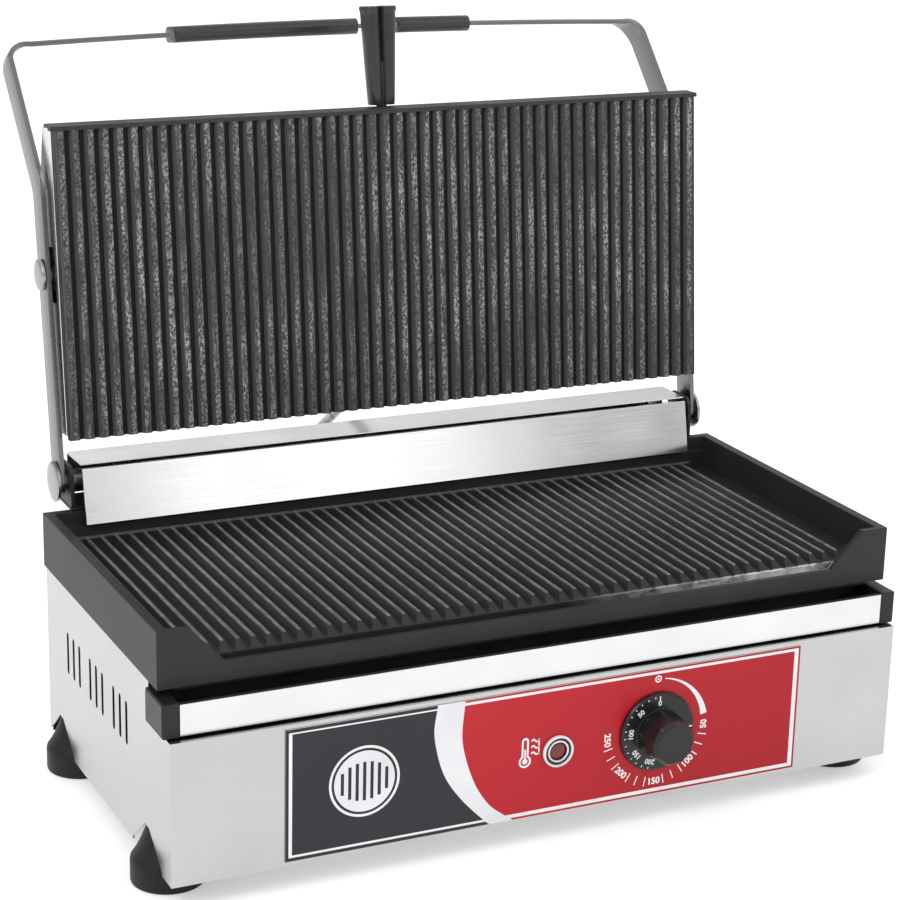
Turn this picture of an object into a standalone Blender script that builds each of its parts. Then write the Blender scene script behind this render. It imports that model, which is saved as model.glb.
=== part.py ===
"""Panini press: a wide ribbed contact grill with a floating upper plate.

Machine coordinates: X to the right seen from the front, Y backwards from the outer face of
the front panel, Z upwards from the bottom edge of the housing.  An empty called "machine"
moves all of it so that the origin is under the middle of the object, on the floor.
All sizes are in metres.
"""
import math

import bmesh
import bpy
from mathutils import Matrix, Vector

# ---- driving dimensions: housing -------------------------------------------------------
WIDTH = 0.520
DEPTH = 0.256
PANEL_HEIGHT = 0.0952
WALL_TOP = 0.1222
SHEET = 0.001
FLOOR_DROP = 0.017
GAP = 0.0003
SHELF_DEPTH = 0.0395

# ---- lower grill ------------------------------------------------------------------------
CASTING_HALF = 0.2616
CASTING_FRONT = 0.0181
CASTING_BACK = 0.2564
CASTING_BOTTOM = 0.1225
RIM_TOP = 0.1604
RIM_INSIDE = 0.2545
LIP_TOP = 0.1353
WELL_FRONT = 0.0226
WELL_BACK = 0.2460
LEDGE_TOP = 0.150
RIB_PITCH = 0.01016
RIB_COUNT = 47
RIB_TOP = 0.142
GROOVE_FLOOR = 0.1365

# ---- hinge, arms and upper plate ---------------------------------------------------------
HINGE = Vector((0.0, 0.265, 0.1785))
ARM_LEAN = math.radians(8.8)
ARM_LENGTH = 0.141
PLATE_LEAN = math.radians(6.05)
PIVOT = HINGE + Vector((0.0, math.sin(ARM_LEAN), math.cos(ARM_LEAN))) * ARM_LENGTH
PLATE_HALF = 0.243
PLATE_REACH = 0.1000
PLATE_TAIL = 0.1104
FACE_OFFSET = 0.026
FLANGE = 0.006
COVER_HALF = 0.2436
ARM_INSIDE = 0.2452
BAR_THICK = 0.0035
BAR_WIDE = 0.020
ELBOW = 0.1992
UPPER_LEAN = math.radians(43.3)
UPPER_ARM = 0.0975
CORNER_RADIUS = 0.016
GRIP_LEAN = math.radians(8.0)
CROWN = 0.004

# ---- front controls ----------------------------------------------------------------------
DIAL = Vector((0.075, 0.0, 0.049))
LAMP = Vector((0.002, 0.0, 0.047))
LABEL = (-0.1865, 0.0037, 0.1845, 0.0923)
KNOB_REACH = 0.0265
FOOT_PLACES = {"front": 0.046, "rear": 0.228}
FOOT_SIDE = 0.2465
FOOT_RADIUS = 0.0238

CROSSBAR_BACK = 0.3826
CENTRE_Y = 0.5 * (CROSSBAR_BACK - KNOB_REACH)

ROUND = 24


# ---- basic helpers -----------------------------------------------------------------------
def clear_scene():
    for item in list(bpy.data.objects):
        bpy.data.objects.remove(item, do_unlink=True)


def material(name, colour, roughness, metallic):
    found = bpy.data.materials.get(name)
    if found:
        return found
    made = bpy.data.materials.new(name)
    made.use_nodes = True
    shader = made.node_tree.nodes["Principled BSDF"]
    shader.inputs["Base Color"].default_value = (*colour, 1.0)
    shader.inputs["Roughness"].default_value = roughness
    shader.inputs["Metallic"].default_value = metallic
    return made


def steel():
    return material("stainless", (0.72, 0.73, 0.75), 0.22, 1.0)


def cast():
    return material("cast_iron", (0.045, 0.045, 0.047), 0.55, 0.6)


def black_plastic():
    return material("black_plastic", (0.03, 0.03, 0.032), 0.45, 0.0)


def dark_steel():
    return material("dark_steel", (0.07, 0.07, 0.075), 0.5, 0.8)


def rubber():
    return material("rubber", (0.025, 0.025, 0.027), 0.7, 0.0)


def empty(name, location, parent=None, rotation=(0.0, 0.0, 0.0)):
    made = bpy.data.objects.new(name, None)
    bpy.context.scene.collection.objects.link(made)
    made.location = location
    made.rotation_euler = rotation
    made.parent = parent
    return made


def add(name, form, look, parent, origin=(0.0, 0.0, 0.0)):
    """Link a finished bmesh as an object whose own origin is at the given point."""
    bmesh.ops.translate(form, verts=form.verts, vec=-Vector(origin))
    bmesh.ops.recalc_face_normals(form, faces=form.faces)
    mesh = bpy.data.meshes.new(name)
    form.to_mesh(mesh)
    form.free()
    mesh.materials.append(look)
    made = bpy.data.objects.new(name, mesh)
    bpy.context.scene.collection.objects.link(made)
    made.location = origin
    made.parent = parent
    return made


def smooth(item, angle=35.0):
    item.data.shade_smooth()
    item.data.set_sharp_from_angle(angle=math.radians(angle))
    return item


def box(low, high):
    form = bmesh.new()
    bmesh.ops.create_cube(form, size=1.0)
    low, high = Vector(low), Vector(high)
    size = high - low
    bmesh.ops.scale(form, verts=form.verts, vec=size)
    bmesh.ops.translate(form, verts=form.verts, vec=(low + high) / 2)
    return form


def prism(outline, axis, start, end):
    """Extrude a closed outline along X, Y or Z; its points are the other two coordinates."""
    order = {"X": lambda a, b, c: (c, a, b), "Y": lambda a, b, c: (a, c, b), "Z": lambda a, b, c: (a, b, c)}
    place = order[axis]
    form = bmesh.new()
    base = [form.verts.new(place(a, b, start)) for a, b in outline]
    face = form.faces.new(base)
    grown = bmesh.ops.extrude_face_region(form, geom=[face])
    moved = [item for item in grown["geom"] if isinstance(item, bmesh.types.BMVert)]
    bmesh.ops.translate(form, verts=moved, vec=place(0.0, 0.0, end - start))
    bmesh.ops.recalc_face_normals(form, faces=form.faces)
    return form


def turned(profile, axis="Z", centre=(0.0, 0.0, 0.0), steps=ROUND):
    """Spin (radius, height) points about an axis; the first and last lie on the axis or close a ring."""
    form = bmesh.new()
    rings = []
    for radius, height in profile:
        if radius < 1e-7:
            rings.append([form.verts.new((0.0, 0.0, height))])
            continue
        ring = []
        for step in range(steps):
            turn = 2 * math.pi * step / steps
            ring.append(form.verts.new((radius * math.cos(turn), radius * math.sin(turn), height)))
        rings.append(ring)
    pairs = list(zip(rings, rings[1:]))
    if len(rings[0]) > 1:
        pairs.append((rings[-1], rings[0]))
    for first, second in pairs:
        bridge(form, first, second, steps)
    turn_to = {"X": Matrix.Rotation(math.pi / 2, 3, "Y"), "Y": Matrix.Rotation(-math.pi / 2, 3, "X"),
               "Z": Matrix.Identity(3)}
    bmesh.ops.rotate(form, verts=form.verts, cent=(0, 0, 0), matrix=turn_to[axis])
    bmesh.ops.translate(form, verts=form.verts, vec=centre)
    bmesh.ops.recalc_face_normals(form, faces=form.faces)
    return form


def bridge(form, first, second, steps):
    """Faces between two rings of a turned shape; either ring may be a single point."""
    for step in range(steps):
        after = (step + 1) % steps
        corners = [first[step % len(first)], first[after % len(first)],
                   second[after % len(second)], second[step % len(second)]]
        unique = [corner for place, corner in enumerate(corners) if corner not in corners[:place]]
        if len(unique) > 2:
            form.faces.new(unique)


def loft(sections):
    """Join equal rings of points into one closed body with flat ends."""
    form = bmesh.new()
    rings = [[form.verts.new(point) for point in ring] for ring in sections]
    count = len(rings[0])
    for first, second in zip(rings, rings[1:]):
        for step in range(count):
            after = (step + 1) % count
            form.faces.new((first[step], first[after], second[after], second[step]))
    form.faces.new(rings[0])
    form.faces.new(rings[-1])
    bmesh.ops.recalc_face_normals(form, faces=form.faces)
    return form


def joined(forms):
    """Put several separate bmeshes into one, for use as one cutter or one set of additions."""
    whole = bmesh.new()
    for form in forms:
        mesh = bpy.data.meshes.new("loose")
        form.to_mesh(mesh)
        form.free()
        whole.from_mesh(mesh)
        bpy.data.meshes.remove(mesh)
    return whole


def boolean(form, other, operation):
    """Exact Boolean of two bmeshes; returns a new bmesh."""
    pair = []
    for part in (form, other):
        mesh = bpy.data.meshes.new("operand")
        bmesh.ops.recalc_face_normals(part, faces=part.faces)
        part.to_mesh(mesh)
        part.free()
        item = bpy.data.objects.new("operand", mesh)
        bpy.context.scene.collection.objects.link(item)
        pair.append(item)
    body, tool = pair
    change = body.modifiers.new("change", "BOOLEAN")
    change.object = tool
    change.operation = operation
    change.solver = "EXACT"
    change.use_self = True
    graph = bpy.context.evaluated_depsgraph_get()
    made = bmesh.new()
    made.from_mesh(body.evaluated_get(graph).to_mesh())
    for item in pair:
        mesh = item.data
        bpy.data.objects.remove(item, do_unlink=True)
        bpy.data.meshes.remove(mesh)
    bmesh.ops.remove_doubles(made, verts=made.verts, dist=1e-6)
    return made


def cut(form, *tools):
    return boolean(form, joined(tools), "DIFFERENCE")


def fuse(form, *tools):
    return boolean(form, joined(tools), "UNION")


def bore(axis, centre, radius, start, end, steps=ROUND):
    """A solid rod along an axis, used to cut a hole or to stand as a pin."""
    return turned([(0.0, start), (radius, start), (radius, end), (0.0, end)], axis, centre, steps)


def arc(centre, radius, start, end, steps):
    """Points of an arc in a plane, from one angle to another in degrees."""
    turns = [math.radians(start + (end - start) * step / steps) for step in range(steps + 1)]
    return [(centre[0] + radius * math.cos(turn), centre[1] + radius * math.sin(turn)) for turn in turns]


def smooth_route(points, spacing):
    """Points at an even spacing along a Catmull-Rom curve through the given ones."""
    ends = [2 * points[0] - points[1]] + points + [2 * points[-1] - points[-2]]
    dense = []
    for before, start, stop, after in zip(ends, ends[1:], ends[2:], ends[3:]):
        for step in range(24):
            t = step / 24
            dense.append(0.5 * ((2 * start) + (stop - before) * t
                                + (2 * before - 5 * start + 4 * stop - after) * t * t
                                + (3 * start - before - 3 * stop + after) * t * t * t))
    dense.append(points[-1])
    length = sum((b - a).length for a, b in zip(dense, dense[1:]))
    count = max(2, round(length / spacing))
    even = [dense[0]]
    walked, target = 0.0, length / count
    for a, b in zip(dense, dense[1:]):
        step = (b - a).length
        while walked + step >= target and len(even) < count:
            even.append(a.lerp(b, (target - walked) / step))
            target += length / count
        walked += step
    even.append(dense[-1])
    return even


def tube(name, points, radius, look, parent, sides=2):
    """A round tube through the points, as a curve with filled ends."""
    curve = bpy.data.curves.new(name, "CURVE")
    curve.dimensions = "3D"
    curve.bevel_depth = radius
    curve.bevel_resolution = sides
    curve.use_fill_caps = True
    spline = curve.splines.new("POLY")
    spline.points.add(len(points) - 1)
    for knot, point in zip(spline.points, points):
        knot.co = (*point, 1.0)
    curve.materials.append(look)
    made = bpy.data.objects.new(name, curve)
    bpy.context.scene.collection.objects.link(made)
    made.parent = parent
    return made


# ---- housing -----------------------------------------------------------------------------
def side_slots():
    """Three groups of three upright slots, cut through both side walls."""
    width, low, high = 0.0045, 0.0605, 0.0903
    rear_slot, group_pitch, slot_pitch = 0.209, 0.0495, 0.013
    cutters = []
    for group in range(3):
        for slot in range(3):
            middle = rear_slot - group * group_pitch - slot * slot_pitch
            outline = (arc((middle, high - width / 2), width / 2, 0, 180, 4)
                       + arc((middle, low + width / 2), width / 2, 180, 360, 4))
            cutters.append(prism(outline, "X", -WIDTH, WIDTH))
    return cutters


def foot_arches():
    """Pointed arches in the side walls, where the round feet reach past the walls."""
    cutters = []
    for middle in FOOT_PLACES.values():
        outline = [(middle - 0.028, -0.01), (middle - 0.028, 0.002), (middle - 0.014, 0.0135),
                   (middle - 0.004, 0.0215), (middle + 0.004, 0.0215), (middle + 0.014, 0.0135),
                   (middle + 0.028, 0.002), (middle + 0.028, -0.01)]
        cutters.append(prism(outline, "X", -WIDTH, WIDTH))
    return cutters


def housing_shell(machine):
    """Folded sheet: front panel, drawer shelf, riser, side walls and the flange round the top."""
    half = WIDTH / 2
    outside = [(0, 0), (0, PANEL_HEIGHT), (SHELF_DEPTH, PANEL_HEIGHT), (SHELF_DEPTH, WALL_TOP),
               (DEPTH, WALL_TOP), (DEPTH, 0)]
    below, behind = -0.01, DEPTH + 0.01
    inside = [(SHEET, below), (SHEET, PANEL_HEIGHT - SHEET), (SHELF_DEPTH + SHEET, PANEL_HEIGHT - SHEET),
              (SHELF_DEPTH + SHEET, WALL_TOP - SHEET), (behind, WALL_TOP - SHEET), (behind, below)]
    form = prism(outside, "X", -half, half)
    form = cut(form, prism(inside, "X", -half + SHEET, half - SHEET))
    opening = box((-0.240, 0.062, 0.110), (0.240, 0.235, 0.130))
    shaft_hole = bore("Y", DIAL, 0.0055, -0.01, 0.01)
    lamp_hole = bore("Y", LAMP, 0.0065, -0.01, 0.01)
    form = cut(form, opening, shaft_hole, lamp_hole, *side_slots(), *foot_arches())
    add("housing_shell", form, steel(), machine)


def bottom_cover(machine):
    """Flat tray that closes the housing from below, with vent slots."""
    form = box((-WIDTH / 2 + SHEET + GAP, SHEET + GAP, 0.0225), (WIDTH / 2 - SHEET - GAP, 0.2535, 0.0235))
    vents = [box((-0.15 + 0.03 * step, 0.09, 0.01), (-0.146 + 0.03 * step, 0.17, 0.03)) for step in range(11)]
    add("bottom_cover", cut(form, *vents), steel(), machine)


def rear_panel(machine):
    """Back wall of the housing, with two rows of vent slots and the hole for the cable gland."""
    form = box((-WIDTH / 2 + SHEET + GAP, 0.2545, 0.0005), (WIDTH / 2 - SHEET - GAP, 0.2555, WALL_TOP - SHEET - GAP))
    vents = [box((-0.14 + 0.025 * step, 0.24, 0.070), (-0.136 + 0.025 * step, 0.27, 0.100)) for step in range(10)]
    gland_hole = bore("Y", (0.200, 0.2550, 0.050), 0.0085, -0.02, 0.02)
    add("rear_panel", cut(form, gland_hole, *vents), steel(), machine)


def cable_gland(machine):
    """Mains inlet gland in the rear panel: hexagonal nut outside, threaded neck inside."""
    place = (0.200, 0.2550, 0.050)
    neck = bore("Y", place, 0.0080, -0.0105, 0.005)
    nut = bore("Y", place, 0.0125, 0.0009, 0.0075, 6)
    dome = turned([(0.0, 0.006), (0.0105, 0.006), (0.0095, 0.0145), (0.0060, 0.0170), (0.0, 0.0170)], "Y", place)
    form = fuse(neck, nut)
    form = fuse(form, dome)
    form = cut(form, bore("Y", place, 0.0042, -0.03, 0.03, 16))
    smooth(add("cable_gland", form, black_plastic(), machine))


def feet(machine):
    """Four conical rubber feet, each with a round shoulder that passes the side wall's arch."""
    profile = [(0.0, -FLOOR_DROP), (FOOT_RADIUS - 0.0015, -FLOOR_DROP), (FOOT_RADIUS, -FLOOR_DROP + 0.0015),
               (FOOT_RADIUS, -0.0005), (0.0205, 0.0055), (0.0165, 0.0125), (0.0128, 0.0185), (0.0118, 0.0222),
               (0.0, 0.0222)]
    for side, sign in (("left", -1), ("right", 1)):
        for row, middle in FOOT_PLACES.items():
            place = (sign * FOOT_SIDE, middle, 0.0)
            form = turned(profile, "Z", place, 28)
            clear = box((-WIDTH / 2 + 0.0, -0.001, -0.0003), (WIDTH / 2, SHEET + GAP, 0.03))
            form = cut(form, clear)
            smooth(add(f"foot_{row}_{side}", form, rubber(), machine))


# ---- lower grill -------------------------------------------------------------------------
def rib(middle, front, back):
    """One long rib of the lower grill, with a sloping front end and a narrow crest between sloping sides."""
    base = GROOVE_FLOOR - 0.0006
    section = [(-0.0042, base), (-0.0010, RIB_TOP), (0.0010, RIB_TOP), (0.0042, base)]
    first = [(middle + x, front + 1.3 * (z - base), z) for x, z in section]
    last = [(middle + x, back, z) for x, z in section]
    return loft([first, last])


def lower_grill(machine):
    """Open-fronted casting with raised rims, a drain gutter behind its front lip and long ribs."""
    body = box((-CASTING_HALF, CASTING_FRONT, CASTING_BOTTOM), (CASTING_HALF, CASTING_BACK, RIM_TOP))
    above = RIM_TOP + 0.02
    well = box((-RIM_INSIDE, WELL_FRONT, GROOVE_FLOOR), (RIM_INSIDE, WELL_BACK, above))
    ledge = box((-RIM_INSIDE, WELL_BACK - 0.001, LEDGE_TOP), (RIM_INSIDE, 0.250, above))
    gutter = box((-0.250, WELL_FRONT, 0.1305), (0.250, 0.0292, GROOVE_FLOOR + 0.001))
    spout = prism([(-0.2174, LIP_TOP), (0.2174, LIP_TOP), (0.2425 + 0.018, 0.1604 + 0.0196),
                   (-0.2425 - 0.018, 0.1604 + 0.0196)], "Y", 0.0, WELL_FRONT + 0.002)
    hollow = box((-0.248, 0.046, 0.110), (0.248, 0.246, 0.1262))
    form = cut(body, well, gutter)
    form = cut(form, ledge, spout, hollow)
    lip = box((-0.250, 0.0215, 0.1196), (0.250, 0.0375, CASTING_BOTTOM + 0.0012))
    first = -(RIB_COUNT - 1) / 2 * RIB_PITCH
    ribs = [rib(first + step * RIB_PITCH, 0.0295, WELL_BACK + 0.001) for step in range(RIB_COUNT)]
    form = fuse(form, lip)
    form = fuse(form, *ribs)
    add("lower_grill_casting", form, cast(), machine)


def element_route(rows, half, height, lift, drop):
    """Serpentine of a tubular element: straight runs along X joined by half-round turns."""
    points = [Vector((-0.020, rows[0] - lift, height - drop)), Vector((-0.020, rows[0] - lift, height - drop / 2))]
    radius = (rows[1] - rows[0]) / 2
    side = -1
    points.append(Vector((-0.026, rows[0], height)))
    for row, following in zip(rows, rows[1:]):
        points.append(Vector((side * half, row, height)))
        for turn in (-60, -30, 0, 30, 60):
            angle = math.radians(turn)
            points.append(Vector((side * (half + radius * math.cos(angle)),
                                  row + radius + radius * math.sin(angle), height)))
        points.append(Vector((side * half, following, height)))
        side = -side
    points.append(Vector((0.020, rows[-1], height)))
    points.append(Vector((0.020, rows[-1] + lift, height - drop)))
    return points


def lower_heater(machine):
    """Tubular element under the lower casting, its clamp plate and the insulation below."""
    route = element_route([0.080, 0.122, 0.164, 0.206], 0.195, 0.1208, 0.004, 0.012)
    element = material("element_sheath", (0.30, 0.27, 0.25), 0.5, 0.8)
    tube("lower_heating_element", route, 0.0040, element, machine)
    plate = box((-0.226, 0.092, 0.1145), (0.226, 0.200, 0.1160))
    add("lower_element_clamp", plate, dark_steel(), machine)
    wool = material("ceramic_wool", (0.80, 0.79, 0.74), 0.95, 0.0)
    blanket = box((-0.226, 0.092, 0.0960), (0.226, 0.200, 0.1140))
    add("lower_insulation", blanket, wool, machine)


# ---- grease drawer -----------------------------------------------------------------------
def grease_drawer(machine):
    """Shallow channel under the front lip: bright front strip, floor and back wall, two end caps."""
    drawer = empty("drawer", (0.0, 0.0055, 0.0967), machine)
    front, low, top = 0.0055, 0.0967, 0.1172
    outline = [(front, low), (0.0370, low), (0.0370, 0.1140), (0.0360, 0.1140), (0.0360, low + SHEET),
               (front + 0.0012, low + SHEET), (front + 0.0012, top - 0.001), (front + 0.0040, top - 0.001),
               (front + 0.0040, top), (front, top)]
    channel = prism([(y - front, z - low) for y, z in outline], "X", -0.2516, 0.2516)
    add("drawer_channel", channel, steel(), drawer)
    for side, sign in (("left", -1), ("right", 1)):
        low_x, high_x = sorted((sign * 0.2519, sign * 0.2630))
        cap = box((low_x, 0.0, -0.0009), (high_x, 0.0322, 0.0215))
        plug = box((min(sign * 0.2530, sign * 0.2380), 0.0018, 0.0014),
                   (max(sign * 0.2530, sign * 0.2380), 0.0298, 0.0120))
        cap = fuse(cap, plug)
        bmesh.ops.bevel(cap, geom=[edge for edge in cap.edges if edge_on_outside(edge, sign, 0.2630)],
                        offset=0.0012, segments=2, profile=0.5, affect="EDGES")
        smooth(add(f"drawer_end_cap_{side}", cap, black_plastic(), drawer))


def edge_on_outside(edge, sign, reach):
    return all(abs(corner.co.x - sign * reach) < 1e-6 for corner in edge.verts)


# ---- hinge -------------------------------------------------------------------------------
def hinge_brackets(machine):
    """Steel ears that carry the hinge shaft, standing on a base plate behind the rim."""
    base = box((-0.2432, 0.2506, 0.1609), (0.2432, 0.2822, 0.1629))
    add("hinge_base_plate", base, dark_steel(), machine)
    ear = [(0.2508, 0.1632), (0.2820, 0.1632), (0.2820, 0.1845), (0.2755, 0.1912), (0.2560, 0.1912),
           (0.2508, 0.1860)]
    for side, sign in (("left", -1), ("right", 1)):
        low_x, high_x = sorted((sign * 0.2404, sign * 0.2430))
        form = prism(ear, "X", low_x, high_x)
        form = cut(form, bore("X", (0.0, HINGE.y, HINGE.z), 0.0073, low_x - 0.01, high_x + 0.01))
        add(f"hinge_bracket_{side}", form, steel(), machine)


def hinge_covers(machine):
    """Sheet box over the shaft: a top and back cover, and a leaning mirror strip in front."""
    back, top = 0.2832, 0.1930
    outline = [(0.2515, top), (back, top), (back, 0.1634), (back - SHEET, 0.1634), (back - SHEET, top - SHEET),
               (0.2515, top - SHEET)]
    add("hinge_top_cover", prism(outline, "X", -0.2360, 0.2360), steel(), machine)
    foot, head, thick = Vector((0.2405, 0.1529)), Vector((0.2484, 0.1905)), 0.0012
    strip = [tuple(foot), tuple(head), (head.x + 0.0030, head.y - 0.0004), (head.x + 0.0030, head.y - thick),
             (head.x + thick, head.y - thick - 0.0002), (foot.x + thick, foot.y + thick),
             (foot.x + 0.0085, foot.y + thick), (foot.x + 0.0085, foot.y)]
    add("hinge_front_strip", prism(strip, "X", -0.2355, 0.2355), steel(), machine)


def hinge_springs(machine):
    """Two torsion springs round the hinge shaft that balance the lid's weight."""
    mean, wire, pitch, turns, per_turn = 0.0110, 0.0013, 0.0036, 6, 12
    spring_steel = material("spring_steel", (0.45, 0.45, 0.47), 0.35, 1.0)
    for side, sign in (("left", -1), ("right", 1)):
        points = []
        for step in range(turns * per_turn + 1):
            turn = 2 * math.pi * step / per_turn
            along = sign * (0.190 + pitch * step / per_turn)
            points.append(Vector((along, HINGE.y + mean * math.cos(turn), HINGE.z + mean * math.sin(turn))))
        tube(f"hinge_spring_{side}", points, wire, spring_steel, machine, 1)


def hinge_shaft(arm):
    """Solid shaft through both brackets, bored at its ends for the pivot bolts."""
    reach = ARM_INSIDE - GAP
    form = bore("X", (0, 0, 0), 0.0070, -reach, reach)
    form = cut(form, bore("X", (0, 0, 0), 0.0043, reach - 0.018, reach + 0.01, 16),
               bore("X", (0, 0, 0), 0.0043, -reach - 0.01, -reach + 0.018, 16))
    smooth(add("hinge_shaft", form, steel(), arm))


# ---- arm frame ---------------------------------------------------------------------------
def lean_direction(lean):
    return Vector((0.0, math.sin(lean), math.cos(lean)))


def frame_stations():
    """Centre, width direction and thickness direction along the left half of the bent bar."""
    side = -(ARM_INSIDE + BAR_THICK / 2)
    stations = []
    elbow = lean_direction(ARM_LEAN) * ELBOW
    bend_reach = 0.012
    for along in (0.0, 0.05, 0.11, ELBOW - bend_reach):
        stations.append((Vector((side, 0, 0)) + lean_direction(ARM_LEAN) * along, ARM_LEAN, 0.0))
    stations.append((Vector((side, 0, 0)) + elbow * 0.985 + lean_direction(UPPER_LEAN) * 0.0020,
                     (ARM_LEAN + UPPER_LEAN) / 2, 0.0))
    stations.append((Vector((side, 0, 0)) + elbow + lean_direction(UPPER_LEAN) * bend_reach, UPPER_LEAN, 0.0))
    point = Vector((side, 0, 0)) + elbow + lean_direction(UPPER_LEAN) * UPPER_ARM
    stations.append((point.copy(), UPPER_LEAN, 0.0))
    steps = 8
    for step in range(steps):
        middle = math.pi / 2 * (step + 0.5) / steps
        lean = UPPER_LEAN + (GRIP_LEAN - UPPER_LEAN) * (step + 0.5) / steps
        along = lean_direction(lean) * math.cos(middle) + Vector((1, 0, 0)) * math.sin(middle)
        point = point + along * (CORNER_RADIUS * math.pi / 2 / steps)
        lean_here = UPPER_LEAN + (GRIP_LEAN - UPPER_LEAN) * (step + 1) / steps
        stations.append((point.copy(), lean_here, math.pi / 2 * (step + 1) / steps))
    return stations


def crossbar_point(x):
    """Middle of the crossbar at a place along X; the bar is slightly crowned."""
    end = frame_stations()[-1][0]
    rise = CROWN * (1 - (x / end.x) ** 2)
    return Vector((x, end.y + rise * math.sin(GRIP_LEAN), end.z + rise * math.cos(GRIP_LEAN)))


def ring_at(point, lean, turn, section):
    """Place a (width, thickness) section across the bar at one station."""
    wide = Vector((0.0, math.cos(lean), -math.sin(lean)))
    out = Vector((-1, 0, 0)) * math.cos(turn) + lean_direction(lean) * math.sin(turn)
    return [point + wide * across + out * through for across, through in section]


def mirrored(ring):
    return [Vector((-point.x, point.y, point.z)) for point in ring]


def arm_frame(arm):
    """One flat bar bent into a U: two arms with an elbow, rounded corners and a crossbar."""
    w, t = BAR_WIDE / 2, BAR_THICK / 2
    bar = [(-w, -t), (w, -t), (w, t), (-w, t)]
    left = [ring_at(point, lean, turn, bar) for point, lean, turn in frame_stations()]
    middle = [ring_at(crossbar_point(x), GRIP_LEAN, math.pi / 2, bar) for x in (-0.15, -0.08, 0.0, 0.08, 0.15)]
    right = [mirrored(ring) for ring in reversed(left)]
    form = loft(left + middle + right)
    for sign in (-1, 1):
        near, far = sorted((sign * ARM_INSIDE, sign * (ARM_INSIDE + BAR_THICK)))
        form = fuse(form, bore("X", (0, 0, 0), BAR_WIDE / 2, near, far))
    holes = [bore("X", (0, 0, 0), 0.0043, -0.26, -0.24, 16), bore("X", (0, 0, 0), 0.0043, 0.24, 0.26, 16)]
    upper = PIVOT - HINGE
    holes += [bore("X", (0, upper.y, upper.z), 0.0044, -0.26, -0.24, 16),
              bore("X", (0, upper.y, upper.z), 0.0044, 0.24, 0.26, 16)]
    add("arm_frame", cut(form, *holes), steel(), arm)


def grip_sleeve(name, start, end, arm):
    """Oval plastic sleeve pushed over a stretch of the crossbar."""
    half_wide, half_high = 0.0118, 0.0057
    outer = (arc((half_wide - half_high, 0), half_high, -90, 90, 6)
             + arc((-half_wide + half_high, 0), half_high, 90, 270, 6))
    w, t = BAR_WIDE / 2 + GAP, BAR_THICK / 2 + GAP
    inner = [(-w, -t), (w, -t), (w, t), (-w, t)]
    steps = 5
    places = [start + (end - start) * step / steps for step in range(steps + 1)]
    body = loft([ring_at(crossbar_point(x), GRIP_LEAN, math.pi / 2, outer) for x in places])
    longer = [start - 0.01] + places[1:-1] + [end + 0.01]
    core = loft([ring_at(crossbar_point(x), GRIP_LEAN, math.pi / 2, inner) for x in longer])
    smooth(add(name, cut(body, core), black_plastic(), arm))


def dome_bolt(name, radius, sign, parent, shank):
    """Low dome-headed bolt whose shank passes the arm and screws into what the arm turns on."""
    seat = ARM_INSIDE + BAR_THICK + GAP
    profile = [(0.0, seat - shank), (0.0040, seat - shank), (0.0040, seat), (radius, seat),
               (radius, seat + 0.0008), (radius * 0.93, seat + 0.0015), (radius * 0.6, seat + 0.0022),
               (0.0, seat + 0.0025)]
    form = turned([(r, sign * x) for r, x in profile], "X", (0, 0, 0), 28)
    smooth(add(name, form, steel(), parent))


# ---- upper grill -------------------------------------------------------------------------
def upper_grill(plate):
    """Grooved casting with a heating recess behind and a boss on each side for the pivots."""
    face, back = -FACE_OFFSET, -FACE_OFFSET + FLANGE
    body = box((-PLATE_HALF, face, -PLATE_TAIL), (PLATE_HALF, back, PLATE_REACH - 0.0004))
    block = box((-0.236, back - 0.001, -0.1035), (0.236, -0.0100, 0.0945))
    lip = prism([(face + 0.0002, PLATE_REACH - 0.0030), (face + 0.0002, PLATE_REACH - 0.0002),
                 (-0.0110, PLATE_REACH + 0.0012), (-0.0110, PLATE_REACH - 0.0013), (back, PLATE_REACH - 0.0013),
                 (back, PLATE_REACH - 0.0030)], "X", -0.2454, 0.2454)
    lugs = [box(*ordered((sign * 0.2260, -0.0110, -0.0130), (sign * 0.2352, 0.0080, 0.0130)))
            for sign in (-1, 1)]
    bosses = [bore("X", (0, 0, 0), 0.0072, *sorted((sign * 0.2300, sign * 0.2440))) for sign in (-1, 1)]
    form = fuse(body, block, lip)
    form = fuse(form, *lugs)
    form = fuse(form, *bosses)
    recess = box((-0.2255, -0.0150, -0.0955), (0.2255, 0.02, 0.0880))
    grooves = []
    first = -(RIB_COUNT - 1) / 2 * RIB_PITCH
    for step in range(RIB_COUNT):
        middle = first + step * RIB_PITCH
        outline = [(middle - 0.0028, face - 0.001), (middle + 0.0028, face - 0.001), (middle + 0.0028, face),
                   (middle + 0.0008, face + 0.0034), (middle - 0.0008, face + 0.0034), (middle - 0.0028, face)]
        grooves.append(prism(outline, "Z", -PLATE_TAIL - 0.01, PLATE_REACH - 0.0030))
    holes = [bore("X", (0, 0, 0), 0.0043, -0.26, -0.2275, 16), bore("X", (0, 0, 0), 0.0043, 0.2275, 0.26, 16)]
    form = cut(form, recess, *holes)
    form = cut(form, *grooves)
    add("upper_grill_casting", form, cast(), plate)


def ordered(first, second):
    low = [min(a, b) for a, b in zip(first, second)]
    high = [max(a, b) for a, b in zip(first, second)]
    return low, high


COVER_SIDE = [(-0.0197, -0.1080), (-0.0197, 0.0984), (-0.0010, 0.0984), (0.0100, 0.0640), (0.0100, -0.0840),
              (0.0000, -0.1080)]


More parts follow.
